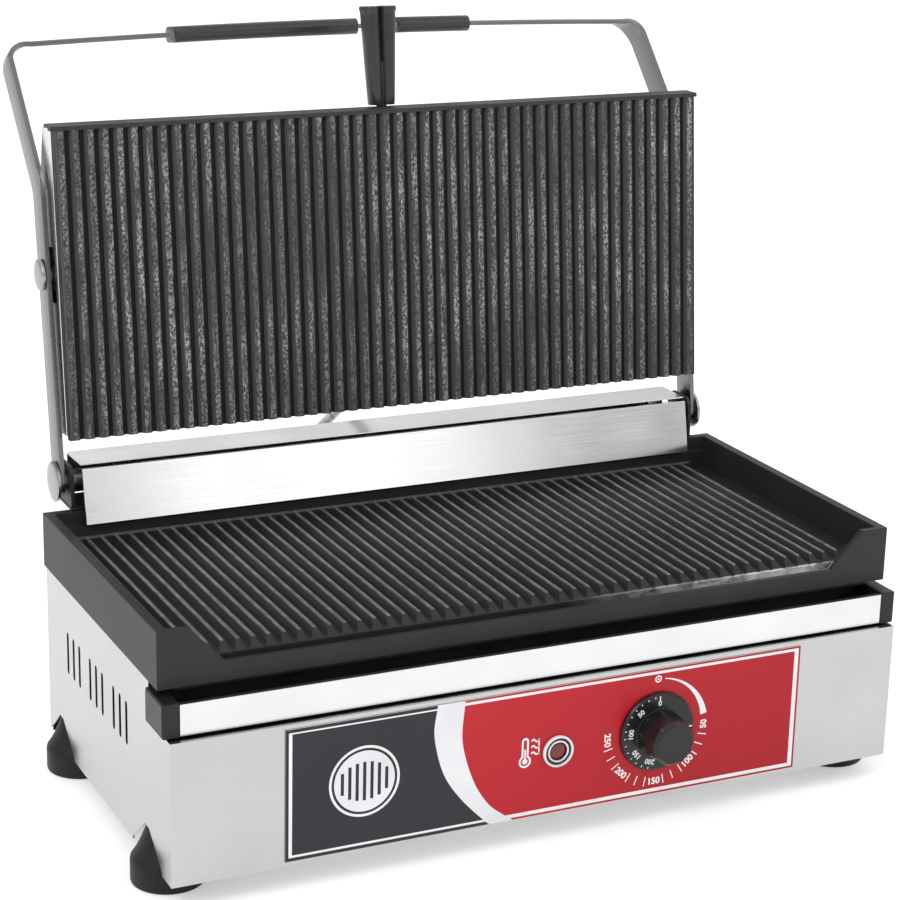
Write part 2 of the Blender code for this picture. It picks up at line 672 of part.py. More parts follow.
def upper_cover(plate):
    """Folded sheet pan behind the casting, with a window on each side for the pivot boss."""
    inner = [(-0.05, -0.1070), (-0.05, 0.0974), (-0.0017, 0.0974), (0.0090, 0.0636), (0.0090, -0.0837),
             (-0.0008, -0.1070)]
    form = prism(COVER_SIDE, "X", -COVER_HALF, COVER_HALF)
    form = cut(form, prism(inner, "X", -COVER_HALF + SHEET, COVER_HALF - SHEET))
    window = box((-0.30, -0.0130, -0.0190), (0.30, 0.0078, 0.0190))
    grip_hole = bore("Z", (0, -0.0066, 0.1000), 0.0045, -0.01, 0.01, 16)
    gland_hole = bore("Y", (-0.005, 0.0045, -0.0955), 0.0062, -0.02, 0.02, 16)
    add("upper_cover", cut(form, window, grip_hole, gland_hole), steel(), plate)


def upper_heater(plate):
    """Tubular element in the recess of the upper casting, with insulation behind it."""
    flat = element_route([-0.066, -0.024, 0.018, 0.060], 0.195, 0.0, 0.004, 0.007)
    route = [Vector((point.x, -0.0100 - point.z, point.y)) for point in flat]
    element = material("element_sheath", (0.30, 0.27, 0.25), 0.5, 0.8)
    tube("upper_heating_element", route, 0.0040, element, plate)
    wool = material("ceramic_wool", (0.80, 0.79, 0.74), 0.95, 0.0)
    blanket = box((-0.215, 0.0015, -0.0560), (0.215, 0.0082, 0.0500))
    add("upper_insulation", blanket, wool, plate)


def centre_handle(plate):
    """Tapered two-lobed grip that stands out of the plate's front edge, on a threaded stud."""
    root, tip, middle = PLATE_REACH + 0.0018, PLATE_REACH + 0.0700, -0.0066
    sections = []
    for along, half in ((0.0, 0.0100), (0.04, 0.0104), (0.45, 0.0117), (0.8, 0.0129), (0.96, 0.0136), (1.0, 0.0136)):
        z = root + (tip - root) * along
        lobes = arc((-half * 0.5, 0), half * 0.52, 60, 300, 8) + arc((half * 0.5, 0), half * 0.52, -120, 120, 8)
        sections.append([(x, middle + y * 1.35, z) for x, y in lobes])
    form = cut(loft(sections), bore("Z", (0, middle, 0), 0.0040, root - 0.01, root + 0.0305, 16))
    smooth(add("centre_handle", form, black_plastic(), plate), 50)
    nut = bore("Z", (0, middle, 0), 0.0050, 0.0948, 0.0970, 6)
    form = fuse(bore("Z", (0, middle, 0), 0.0037, 0.0958, root + 0.030, 16), nut)
    smooth(add("handle_stud", form, steel(), plate))


def pivot_washers(plate):
    """Thin washers between the plate's bosses and the arms."""
    for side, sign in (("left", -1), ("right", 1)):
        low_x, high_x = sorted((sign * 0.2443, sign * 0.2449))
        form = cut(bore("X", (0, 0, 0), 0.0085, low_x, high_x), bore("X", (0, 0, 0), 0.0044, -0.26, 0.26, 16))
        add(f"pivot_washer_{side}", form, steel(), plate)


# ---- power conduit -----------------------------------------------------------------------
def conduit(machine):
    """Flexible metal conduit from the hinge box to the upper cover, and a gland at each end."""
    route = [Vector((-0.055, 0.2920, 0.1735)), Vector((-0.055, 0.2975, 0.1732)), Vector((-0.0525, 0.3045, 0.1720)),
             Vector((-0.0460, 0.3115, 0.1722)), Vector((-0.0360, 0.3170, 0.1765)), Vector((-0.0260, 0.3190, 0.1845)),
             Vector((-0.0170, 0.3175, 0.1935)), Vector((-0.0110, 0.3120, 0.2015)), Vector((-0.0065, 0.3040, 0.2085)),
             Vector((-0.005, 0.2960, 0.2138)), Vector((-0.005, 0.2893, 0.2175))]
    tube("upper_lead_conduit", smooth_route(route, 0.0052), 0.0042, steel(), machine)
    place = (-0.055, 0.2832, 0.1735)
    form = fuse(bore("Y", place, 0.0082, 0.0004, 0.0042, 6), bore("Y", place, 0.0062, 0.0004, 0.0074, 16))
    smooth(add("conduit_gland_base", form, steel(), machine))


def cover_gland(plate):
    """Gland of the conduit on the sloping rear face of the upper cover."""
    profile = [(0.0, 0.0), (0.0080, 0.0), (0.0080, 0.0035), (0.0062, 0.0035), (0.0062, 0.0070), (0.0, 0.0070)]
    form = turned(profile, "Z", (0, 0, 0), 16)
    edge_start, edge_end = Vector((0.0100, -0.0840)), Vector((0.0000, -0.1080))
    slope = math.atan2(edge_start.x - edge_end.x, edge_start.y - edge_end.y)
    bmesh.ops.rotate(form, verts=form.verts, cent=(0, 0, 0), matrix=Matrix.Rotation(-math.pi / 2 - slope, 3, "X"))
    middle = (edge_start + edge_end) / 2
    out = Vector((0.0, math.cos(slope), -math.sin(slope)))
    place = Vector((-0.005, middle.x, middle.y)) + out * 0.0004
    bmesh.ops.translate(form, verts=form.verts, vec=place)
    smooth(add("conduit_gland_cover", form, steel(), plate))


# ---- controls ----------------------------------------------------------------------------
def front_label(machine):
    """Printed plate on the front panel, with holes for the knob's shaft and the lamp."""
    left, low, right, top = LABEL
    form = box((left, -0.0008, low), (right, -GAP, top))
    form = cut(form, bore("Y", DIAL, 0.0055, -0.01, 0.01), bore("Y", LAMP, 0.0065, -0.01, 0.01))
    add("front_label", form, material("label", (0.55, 0.03, 0.05), 0.35, 0.0), machine)


def thermostat(machine):
    """Thermostat behind the panel, the knob on its shaft, and the bulb on its thin tube."""
    body = box((DIAL.x - 0.020, 0.0040, DIAL.z - 0.019), (DIAL.x + 0.020, 0.0330, DIAL.z + 0.019))
    collar = bore("Y", DIAL, 0.0050, SHEET + GAP, 0.006)
    form = fuse(body, collar)
    form = cut(form, bore("Y", DIAL, 0.0034, -0.01, 0.020, 16))
    add("thermostat_body", form, black_plastic(), machine)
    copper = material("copper", (0.72, 0.38, 0.24), 0.35, 1.0)
    route = [Vector((DIAL.x, 0.0355, DIAL.z)), Vector((DIAL.x, 0.046, DIAL.z)), Vector((0.078, 0.062, 0.056)),
             Vector((0.092, 0.074, 0.074)), Vector((0.120, 0.082, 0.100)), Vector((0.150, 0.085, 0.1075)),
             Vector((0.180, 0.085, 0.1090))]
    tube("thermostat_capillary", smooth_route(route, 0.006), 0.0011, copper, machine, 1)
    bulb = bore("X", (0.0, 0.085, 0.1090), 0.0032, 0.1805, 0.2250, 16)
    smooth(add("thermostat_bulb", bulb, copper, machine))
    knob = empty("knob", DIAL, machine)
    shaft = bore("Y", (0, 0, 0), 0.0030, -0.0180, 0.0185, 16)
    smooth(add("thermostat_shaft", shaft, steel(), knob))
    control_knob(knob)


def control_knob(knob):
    """Knob with a flat dial skirt and a many-sided grip with a flat nose."""
    skirt = turned([(0.0, -0.0012), (0.0274, -0.0012), (0.0274, -0.0030), (0.0262, -0.0045), (0.0, -0.0045)],
                   "Y", (0, 0, 0), 40)
    sides = 9
    rings = []
    for depth, radius in ((-0.0040, 0.0172), (-0.0240, 0.0158), (-KNOB_REACH, 0.0138)):
        turns = [2 * math.pi * (step + 0.25) / sides for step in range(sides)]
        rings.append([(radius * math.cos(turn), depth, radius * math.sin(turn)) for turn in turns])
    form = fuse(skirt, loft(rings))
    form = cut(form, bore("Y", (0, 0, 0), 0.0033, -0.0190, 0.01, 16))
    smooth(add("thermostat_knob", form, black_plastic(), knob), 25)


def pilot_lamp(machine):
    """Round pilot lamp: bezel outside the panel, red lens in it and the holder behind."""
    bezel = turned([(0.0064, -0.0012), (0.0108, -0.0012), (0.0108, -0.0022), (0.0096, -0.0036), (0.0076, -0.0036),
                    (0.0064, -0.0026)], "Y", LAMP, 28)
    smooth(add("pilot_lamp_bezel", bezel, steel(), machine))
    red = material("red_lens", (0.35, 0.02, 0.03), 0.15, 0.0)
    lens = turned([(0.0, -0.0030), (0.0035, -0.0028), (0.0061, -0.0016), (0.0061, 0.0050), (0.0, 0.0050)],
                  "Y", LAMP, 24)
    smooth(add("pilot_lamp_lens", lens, red, machine))
    holder = bore("Y", LAMP, 0.0075, 0.0053, 0.0240, 20)
    smooth(add("pilot_lamp_holder", holder, black_plastic(), machine))


def wiring(machine):
    """Terminal block and the three insulated leads between it, the lamp and the thermostat."""
    block = box((0.150, 0.215, 0.0240), (0.196, 0.237, 0.0420))
    ports = [bore("Y", (0.158 + 0.010 * step, 0.226, 0.033), 0.0026, -0.02, 0.02, 10) for step in range(4)]
    add("terminal_block", cut(block, *ports), black_plastic(), machine)
    lead = material("lead_insulation", (0.55, 0.25, 0.12), 0.5, 0.0)
    routes = {
        "lead_thermostat": [Vector((0.080, 0.0345, 0.040)), Vector((0.082, 0.0400, 0.039)), Vector((0.095, 0.056, 0.035)),
                            Vector((0.140, 0.120, 0.030)), Vector((0.174, 0.180, 0.031)),
                            Vector((0.178, 0.205, 0.033)), Vector((0.178, 0.2145, 0.033))],
        "lead_lamp": [Vector((0.002, 0.0253, 0.047)), Vector((0.003, 0.0320, 0.0465)), Vector((0.012, 0.050, 0.040)), Vector((0.070, 0.130, 0.030)),
                      Vector((0.150, 0.185, 0.031)), Vector((0.168, 0.205, 0.033)), Vector((0.168, 0.2145, 0.033))],
        "lead_element": [Vector((-0.020, 0.074, 0.1040)), Vector((-0.030, 0.070, 0.085)),
                         Vector((-0.020, 0.110, 0.045)), Vector((0.080, 0.180, 0.034)),
                         Vector((0.140, 0.201, 0.0335)), Vector((0.157, 0.208, 0.033)),
                         Vector((0.158, 0.2145, 0.033))],
    }
    for name, route in routes.items():
        tube(name, smooth_route(route, 0.011), 0.0013, lead, machine, 1)


# ---- whole -------------------------------------------------------------------------------
def build():
    clear_scene()
    machine = empty("machine", (0.0, -CENTRE_Y, FLOOR_DROP))
    housing_shell(machine)
    bottom_cover(machine)
    rear_panel(machine)
    cable_gland(machine)
    feet(machine)
    lower_grill(machine)
    lower_heater(machine)
    grease_drawer(machine)
    hinge_brackets(machine)
    hinge_covers(machine)
    hinge_springs(machine)
    front_label(machine)
    thermostat(machine)
    pilot_lamp(machine)
    wiring(machine)
    conduit(machine)
    arm = empty("arms", HINGE, machine)
    hinge_shaft(arm)
    arm_frame(arm)
    grip_sleeve("grip_sleeve_left", -0.1280, 0.0120, arm)
    grip_sleeve("grip_sleeve_right", 0.0430, 0.1015, arm)
    plate = empty("plate", PIVOT, machine, (-PLATE_LEAN, 0.0, 0.0))
    upper_grill(plate)
    upper_cover(plate)
    upper_heater(plate)
    centre_handle(plate)
    pivot_washers(plate)
    cover_gland(plate)
    for side, sign in (("left", -1), ("right", 1)):
        dome_bolt(f"hinge_bolt_{side}", 0.0134, sign, arm, 0.0190)
        dome_bolt(f"plate_pivot_bolt_{side}", 0.0105, sign, plate, 0.0170)


build()
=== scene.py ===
"""Visual model of the panini press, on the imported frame. Sizes in the helpers' arguments are in
millimetres in machine coordinates (x across, y back from the front panel, z up from the
housing's bottom edge); M() turns them into the row frame in metres."""
import math

import bmesh
import bpy
from mathutils import Matrix, Vector
from mathutils.geometry import tessellate_polygon


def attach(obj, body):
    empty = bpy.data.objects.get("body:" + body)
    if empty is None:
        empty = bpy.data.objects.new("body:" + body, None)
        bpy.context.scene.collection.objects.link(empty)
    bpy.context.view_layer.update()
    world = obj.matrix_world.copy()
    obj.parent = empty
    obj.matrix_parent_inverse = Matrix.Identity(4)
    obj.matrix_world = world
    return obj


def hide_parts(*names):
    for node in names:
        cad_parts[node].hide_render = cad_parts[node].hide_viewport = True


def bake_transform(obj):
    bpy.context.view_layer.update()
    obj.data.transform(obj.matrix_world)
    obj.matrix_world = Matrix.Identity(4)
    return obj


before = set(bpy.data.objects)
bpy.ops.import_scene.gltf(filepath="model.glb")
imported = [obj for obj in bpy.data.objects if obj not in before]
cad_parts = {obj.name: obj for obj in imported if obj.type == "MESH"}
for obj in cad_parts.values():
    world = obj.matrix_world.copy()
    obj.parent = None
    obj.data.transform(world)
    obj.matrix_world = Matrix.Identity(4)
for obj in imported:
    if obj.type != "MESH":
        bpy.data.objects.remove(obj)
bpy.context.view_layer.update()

CENTRE_Y = 178.05
FLOOR_DROP = 17.0
HINGE = (265.0, 178.5)
ARM_LEAN = math.radians(8.8)
PIVOT = (HINGE[0] + 141.0 * math.sin(ARM_LEAN), HINGE[1] + 141.0 * math.cos(ARM_LEAN))
PLATE_LEAN = math.radians(6.05)
GRIP_LEAN = math.radians(8.0)
PITCH = 10.16


def M(x, y, z):
    return Vector((x, y - CENTRE_Y, z + FLOOR_DROP)) / 1000.0


def P(x, y, z):
    """A point in the upper plate's own frame (y behind its pivots, z along it)."""
    c, s = math.cos(PLATE_LEAN), math.sin(PLATE_LEAN)
    return M(x, PIVOT[0] + y * c + z * s, PIVOT[1] - y * s + z * c)


# ---- materials -----------------------------------------------------------------------------
def set_range(node, from_low, from_high, low, high):
    """Sets the four limits of a Map Range node."""
    for key, value in (("From Min", from_low), ("From Max", from_high), ("To Min", low), ("To Max", high)):
        node.inputs[key].default_value = value


class Nodes:
    """Short hand for building one material's node tree."""

    def __init__(self, name, colour, rough, metal=0.0, specular=0.5):
        self.mat = bpy.data.materials.new(name)
        self.mat.use_nodes = True
        self.tree = self.mat.node_tree
        self.out = self.tree.nodes["Principled BSDF"]
        self.out.inputs["Base Color"].default_value = (*colour, 1)
        self.out.inputs["Roughness"].default_value = rough
        self.out.inputs["Metallic"].default_value = metal
        self.out.inputs["Specular IOR Level"].default_value = specular
        self.coords = self.tree.nodes.new("ShaderNodeTexCoord").outputs["Object"]

    def node(self, kind, **settings):
        made = self.tree.nodes.new(kind)
        for key, value in settings.items():
            setattr(made, key, value)
        return made

    def link(self, source, target):
        self.tree.links.new(source, target)
        return target

    def noise(self, size, stretch=(1, 1, 1), detail=3.0, rough=0.6, seed=0.0):
        """Noise whose cells are about size metres; stretch above 1 lengthens them along that axis."""
        place = self.node("ShaderNodeMapping")
        place.inputs["Scale"].default_value = [1.0 / (size * k) for k in stretch]
        place.inputs["Location"].default_value = (seed, seed * 1.7, seed * 0.6)
        self.link(self.coords, place.inputs["Vector"])
        made = self.node("ShaderNodeTexNoise")
        made.inputs["Scale"].default_value = 1.0
        made.inputs["Detail"].default_value = detail
        made.inputs["Roughness"].default_value = rough
        self.link(place.outputs["Vector"], made.inputs["Vector"])
        return made.outputs["Fac"]

    def ramp(self, source, low, high, from_low=0.35, from_high=0.65):
        """Turns source into low to high as it goes from from_low to from_high."""
        made = self.node("ShaderNodeMapRange")
        set_range(made, from_low, from_high, low, high)
        self.link(source, made.inputs["Value"])
        return made.outputs["Result"]

    def mix(self, factor, first, second):
        """Colour mix; first and second are colours or sockets."""
        made = self.node("ShaderNodeMix", data_type="RGBA")
        for key, value in ((6, first), (7, second)):
            if isinstance(value, tuple):
                made.inputs[key].default_value = (*value, 1)
            else:
                self.link(value, made.inputs[key])
        self.link(factor, made.inputs[0])
        return made.outputs[2]

    def maths(self, operation, first, second=None, clamp=False):
        made = self.node("ShaderNodeMath", operation=operation, use_clamp=clamp)
        for place, value in enumerate((first, second)):
            if value is None:
                continue
            if isinstance(value, (int, float)):
                made.inputs[place].default_value = value
            else:
                self.link(value, made.inputs[place])
        return made.outputs[0]

    def axis(self, index):
        made = self.node("ShaderNodeSeparateXYZ")
        self.link(self.coords, made.inputs[0])
        return made.outputs[index]

    def band(self, source, low, high, soft):
        """1 between low and high, falling to 0 over soft on either side."""
        rise = self.ramp(source, 0.0, 1.0, low - soft, low)
        fall = self.ramp(source, 1.0, 0.0, high, high + soft)
        return self.maths("MULTIPLY", rise, fall)

    def colour(self, socket):
        self.link(socket, self.out.inputs["Base Color"])

    def roughness(self, socket):
        self.link(socket, self.out.inputs["Roughness"])

    def bump(self, height, distance, strength=1.0):
        made = self.node("ShaderNodeBump")
        made.inputs["Distance"].default_value = distance
        made.inputs["Strength"].default_value = strength
        self.link(height, made.inputs["Height"])
        self.link(made.outputs["Normal"], self.out.inputs["Normal"])


def stainless(name, tone=0.80, rough=0.20, grain=(60, 1, 1), tint=(1.0, 1.0, 1.005)):
    """Satin stainless sheet: long fine brush lines, faint blotches in tone and gloss."""
    n = Nodes(name, (tone, tone, tone), rough, 1.0)
    lines = n.noise(0.00045, grain, 4.0, 0.7)
    clouds = n.noise(0.06, (1, 1, 1), 2.0, 0.5, 3.0)
    light = tuple(tone * 1.05 * k for k in tint)
    dark = tuple(tone * 0.93 * k for k in tint)
    half_lines = n.maths("MULTIPLY", n.ramp(lines, 0, 1), 0.5)
    half_clouds = n.maths("MULTIPLY", n.ramp(clouds, 0, 1), 0.5)
    blend = n.maths("ADD", half_lines, half_clouds)
    n.colour(n.mix(blend, dark, light))
    spread = n.maths("ADD", n.ramp(lines, rough - 0.05, rough + 0.06), n.ramp(clouds, -0.02, 0.03))
    n.roughness(spread)
    n.bump(lines, 0.00002, 0.35)
    return n.mat


def cast_iron(name):
    """Dark seasoned casting with a sandy bump; returns its nodes and the sand noise."""
    n = Nodes(name, (0.042, 0.042, 0.042), 0.5, 0.2, 0.3)
    sand = n.noise(0.0011, (1, 1, 1), 5.0, 0.7)
    n.bump(sand, 0.00018, 0.6)
    return n, sand


def upper_face_iron():
    """Casting of the upper grill: specked crests with broad brighter patches that are partly wear and
    partly painted sheen, groove walls with painted light, groove floors painted near black as painted
    shade, and a plain border above the grooves. across is the place within one rib pitch, from 0 to 1."""
    n, sand = cast_iron("iron_upper")
    tone = 0.030
    patches = n.noise(0.035, (1, 1, 1), 3.0, 0.6, 5.0)
    n.roughness(n.maths("ADD", n.ramp(sand, 0.38, 0.56), n.ramp(patches, -0.05, 0.06)))
    pitches = n.maths("DIVIDE", n.axis(0), PITCH / 1000.0)
    across = n.maths("FRACT", n.maths("ADD", pitches, 1000.0))
    # Painted shade: the groove floors at either end of each pitch are painted near black.
    right_floor_shade = n.ramp(across, 1.0, 0.0, 0.085, 0.125)
    left_floor_shade = n.ramp(across, 0.0, 1.0, 0.865, 0.90)
    floor = n.maths("MAXIMUM", right_floor_shade, left_floor_shade)
    # Painted light: the groove wall that faces the key light is painted lighter than the casting.
    painted_light_wall = n.band(across, 0.125, 0.255, 0.03)
    crest = n.band(across, 0.36, 0.66, 0.10)
    specks = n.noise(0.0013, (1, 1, 1.6), 3.0, 0.75, 9.0)
    runs = n.noise(0.006, (0.6, 1, 9), 2.0, 0.5, 2.0)
    # Broad patches of crest brightness: partly wear, partly painted sheen.
    wear_and_sheen = n.ramp(n.noise(0.09, (1.2, 1, 1), 2.0, 0.5, 6.0), 0.40, 1.0, 0.38, 0.60)
    plain = n.mix(n.ramp(sand, 0.0, 1.0), (tone * 0.85,) * 3, (tone * 1.5,) * 3)
    spotted = n.mix(n.ramp(specks, 0.0, 1.0, 0.44, 0.62), (tone * 1.2,) * 3, (0.46, 0.46, 0.46))
    strength = n.maths("MULTIPLY", n.maths("MULTIPLY", crest, wear_and_sheen), n.ramp(runs, 0.25, 1.0, 0.38, 0.60))
    face = n.mix(strength, plain, spotted)
    # Painted light on the lit groove walls.
    face = n.mix(n.maths("MULTIPLY", painted_light_wall, 0.75), face, (tone * 3.2,) * 3)
    # Painted shade: the groove floors take a near-black colour.
    face = n.mix(floor, face, (0.004, 0.004, 0.004))
    below_border = n.ramp(n.axis(2), 1.0, 0.0, 0.4332, 0.4342)
    n.colour(n.mix(below_border, plain, face))
    return n.mat


def lower_face_iron():
    """Casting of the lower grill: a painted highlight with fine scratches along the rib crests, and a
    painted reflection in the drain gutter that brightens to the right.
    """
    n, sand = cast_iron("iron_lower")
    tone = 0.020
    patches = n.noise(0.045, (1, 1, 1), 3.0, 0.6, 5.0)
    plain = n.mix(n.ramp(patches, 0, 1), (tone * 0.9,) * 3, (tone * 1.3,) * 3)
    plain = n.mix(n.ramp(sand, 0.0, 0.6), plain, (tone * 1.7,) * 3)
    height = n.axis(2)
    inside = n.band(n.axis(0), -0.2400, 0.2400, 0.0020)
    ribbed = n.band(n.axis(1), -0.1500, 0.0680, 0.0020)
    # Painted highlight: the rib crests are painted light grey, with fine scratches in it.
    crest = n.band(height, 0.1586, 0.1600, 0.0005)
    crest = n.maths("MULTIPLY", n.maths("MULTIPLY", crest, inside), ribbed)
    scratches = n.noise(0.0016, (1, 6, 1), 2.0, 0.6, 4.0)
    painted_crest_highlight = n.mix(n.ramp(scratches, 0.2, 1.0), (tone * 3.0,) * 3, (0.24, 0.24, 0.245))
    base = n.mix(n.maths("MULTIPLY", crest, 0.85), plain, painted_crest_highlight)
    # Painted reflection: a bright streaky band along the drain gutter, stronger towards the right.
    gutter = n.band(n.axis(1), -0.1560, -0.1478, 0.0006)
    low = n.band(height, 0.1440, 0.1560, 0.0015)
    right = n.ramp(n.axis(0), 0.0, 1.0, 0.02, 0.17)
    streak = n.ramp(n.noise(0.010, (1.6, 1, 1), 3.0, 0.7, 7.0), 0.15, 1.0, 0.38, 0.58)
    shine = n.maths("MULTIPLY", n.maths("MULTIPLY", gutter, low), n.maths("MULTIPLY", right, streak))
    shine = n.maths("MULTIPLY", shine, inside)
    n.colour(n.mix(shine, base, (0.62, 0.62, 0.63)))
    gloss = n.maths("MAXIMUM", shine, n.maths("MULTIPLY", crest, 0.5))
    n.roughness(n.mix(gloss, (0.48, 0.48, 0.48), (0.30, 0.30, 0.30)))
    return n.mat


def plastic(name, tone, rough, grain=0.0006, bump=0.00006, specular=0.5, tint=(1, 1, 1.02)):
    """Moulded thermoset or rubber: faint sparkle of fine grain and slow changes in gloss."""
    colour = tuple(tone * k for k in tint)
    n = Nodes(name, colour, rough, 0.0, specular)
    fine = n.noise(grain, (1, 1, 1), 3.0, 0.6)
    slow = n.noise(0.03, (1, 1, 1), 2.0, 0.5, 4.0)
    dark = tuple(0.85 * c for c in colour)
    light = tuple(1.2 * c for c in colour)
    n.colour(n.mix(n.ramp(slow, 0, 1), dark, light))
    n.roughness(n.maths("ADD", n.ramp(fine, rough - 0.05, rough + 0.05), n.ramp(slow, -0.03, 0.03)))
    n.bump(fine, bump, 0.5)
    return n.mat


def coated(name, colour, rough):
    """Nodes of a printed film under a thin clear coat."""
    n = Nodes(name, colour, rough, 0.0, 0.22)
    n.out.inputs["Coat Weight"].default_value = 0.12
    n.out.inputs["Coat Roughness"].default_value = 0.15
    return n


def ink(name, colour, rough=0.32):
    """Screen-printed film: almost flat colour with a faint orange-peel gloss."""
    n = coated(name, colour, rough)
    slow = n.noise(0.05, (1, 1, 1), 2.0, 0.5, 2.0)
    peel = n.noise(0.0012, (1, 1, 1), 2.0, 0.5)
    dark = tuple(0.93 * c for c in colour)
    light = tuple(min(1.0, 1.06 * c) for c in colour)
    n.colour(n.mix(n.ramp(slow, 0, 1), dark, light))
    n.roughness(n.ramp(peel, rough - 0.04, rough + 0.05))
    n.bump(peel, 0.00002, 0.25)
    return n.mat


def red_ink():
    """Red field of the label: lighter towards its upper left, deeper to the lower right."""
    n = coated("ink_red", (0.58, 0.02, 0.04), 0.34)
    across = n.ramp(n.axis(0), 0.0, 1.0, -0.09, 0.19)
    down = n.ramp(n.axis(2), 1.0, 0.0, 0.02, 0.11)
    both = n.maths("MULTIPLY", n.maths("ADD", across, n.maths("MULTIPLY", down, 0.5)), 0.67, True)
    n.colour(n.mix(both, (0.50, 0.012, 0.022), (0.36, 0.003, 0.010)))
    n.bump(n.noise(0.0012, (1, 1, 1), 2.0, 0.5), 0.00002, 0.25)
    return n.mat


LOOK = {
    "steel_panel": stainless("steel_panel", 0.52, 0.20, (80, 1, 1)),
    "steel_cover": stainless("steel_cover", 0.74, 0.20, (80, 1, 1)),
    "steel_mirror": stainless("steel_mirror", 0.84, 0.12, (120, 1, 1)),
    "steel_bar": stainless("steel_bar", 0.19, 0.26, (1, 1, 60)),
    "steel_turned": stainless("steel_turned", 0.36, 0.28, (1, 8, 8)),
    "steel_hose": stainless("steel_hose", 0.62, 0.32, (1, 1, 1)),
    "iron_upper": upper_face_iron(),
    "iron_lower": lower_face_iron(),
    "black_handle": plastic("black_handle", 0.018, 0.30, 0.0005, 0.00004, 0.6),
    "black_cap": plastic("black_cap", 0.014, 0.40, specular=0.3),
    "black_foot": plastic("black_foot", 0.010, 0.50, 0.0009, 0.0001, 0.25),
    "black_knob": plastic("black_knob", 0.012, 0.24, 0.0005, 0.00003, 0.4),
    "dark_steel": plastic("dark_steel", 0.022, 0.45, 0.0008, 0.00008, 0.3),
    "ink_black": ink("ink_black", (0.024, 0.022, 0.027)),
    "ink_white": ink("ink_white", (0.80, 0.80, 0.82)),
    "ink_silver": ink("ink_silver", (0.74, 0.74, 0.76), 0.28),
    "ink_red": red_ink(),
    "white_print": ink("white_print", (0.82, 0.82, 0.84), 0.4),
    "lamp_white": plastic("lamp_white", 0.70, 0.25, 0.001, 0.00002),
    "lens": plastic("lens", 0.06, 0.10, 0.002, 0.00002, 0.6, (2.2, 0.22, 0.25)),
    "wool": plastic("wool", 0.55, 0.95, 0.002, 0.0006, 0.1),
    "sheath": plastic("sheath", 0.16, 0.5, 0.0007, 0.00005, 0.4, (1.1, 1.0, 0.9)),
    "copper": stainless("copper", 0.60, 0.3, (8, 1, 1), (1.15, 0.62, 0.42)),
    "wire": plastic("wire", 0.20, 0.45, 0.001, 0.00004, 0.4, (1.6, 0.7, 0.35)),
}


# ---- mesh helpers --------------------------------------------------------------------------
def piece(name, form, look, body, replaced=(), angle=35.0):
    """Links a bmesh as a piece that rides on a body and may stand for CAD nodes."""
    bmesh.ops.recalc_face_normals(form, faces=form.faces)
    mesh = bpy.data.meshes.new(name)
    form.to_mesh(mesh)
    form.free()
    for each in (look if isinstance(look, (list, tuple)) else [look]):
        mesh.materials.append(LOOK[each])
    mesh.shade_smooth()
    mesh.set_sharp_from_angle(angle=math.radians(angle))
    made = bpy.data.objects.new(name, mesh)
    bpy.context.scene.collection.objects.link(made)
    if replaced:
        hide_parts(*replaced)
    if body:
        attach(made, body)
    return made


def weigh(made):
    """Shading normals follow the large flat faces, so that the rounded edges don't bend them."""
    even = made.modifiers.new("even_normals", "WEIGHTED_NORMAL")
    even.mode = "FACE_AREA"
    even.weight = 60
    even.keep_sharp = True
    return made


def refine(node, width, look, body, segments=2, sharp=30.0, second=None):
    """A copy of a CAD node with its sharp edges rounded, standing for that node. Faces that
    second() picks take the second look."""
    form = bmesh.new()
    form.from_mesh(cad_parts[node].data)
    bmesh.ops.remove_doubles(form, verts=form.verts, dist=1e-6)
    bmesh.ops.dissolve_limit(form, angle_limit=math.radians(0.5), verts=form.verts, edges=form.edges)
    least = math.radians(sharp)
    edges = [e for e in form.edges if len(e.link_faces) == 2 and e.calc_face_angle(0.0) > least]
    bmesh.ops.bevel(form, geom=edges, offset=width / 1000.0, segments=segments, profile=0.5, affect="EDGES",
                    clamp_overlap=True)
    if second:
        for face in form.faces:
            face.material_index = 1 if second(face) else 0
    return weigh(piece(node + "_finished", form, look, body, [node]))


def loft(sections, closed=False):
    """Faces between equal rings of points, with flat ends unless closed."""
    form = bmesh.new()
    rings = [[form.verts.new(point) for point in ring] for ring in sections]
    count = len(rings[0])
    pairs = list(zip(rings, rings[1:])) + ([(rings[-1], rings[0])] if closed else [])
    for first, second in pairs:
        for step in range(count):
            after = (step + 1) % count
            form.faces.new((first[step], first[after], second[after], second[step]))
    if not closed:
        form.faces.new(rings[0])
        form.faces.new(rings[-1])
    return form


def turned(profile, axis, centre, steps=64, closed=False):
    """Spin (radius, height) points in millimetres about an axis through a row-frame point; a
    closed profile makes a ring."""
    frames = {"X": (Vector((0, 1, 0)), Vector((0, 0, 1)), Vector((1, 0, 0))),
              "Y": (Vector((1, 0, 0)), Vector((0, 0, 1)), Vector((0, 1, 0))),
              "Z": (Vector((1, 0, 0)), Vector((0, 1, 0)), Vector((0, 0, 1)))}
    u, v, w = frames[axis] if isinstance(axis, str) else axis
    rings = []
    for radius, height in profile:
        ring = []
        for step in range(steps):
            turn = 2 * math.pi * step / steps
            ring.append(centre + (u * math.cos(turn) + v * math.sin(turn)) * max(radius, 0.001) / 1000.0
                        + w * height / 1000.0)
        rings.append(ring)
    return loft(rings, closed)


def arc(cx, cy, radius, start, end, steps):
    turns = [math.radians(start + (end - start) * k / steps) for k in range(steps + 1)]
    return [(cx + radius * math.cos(t), cy + radius * math.sin(t)) for t in turns]


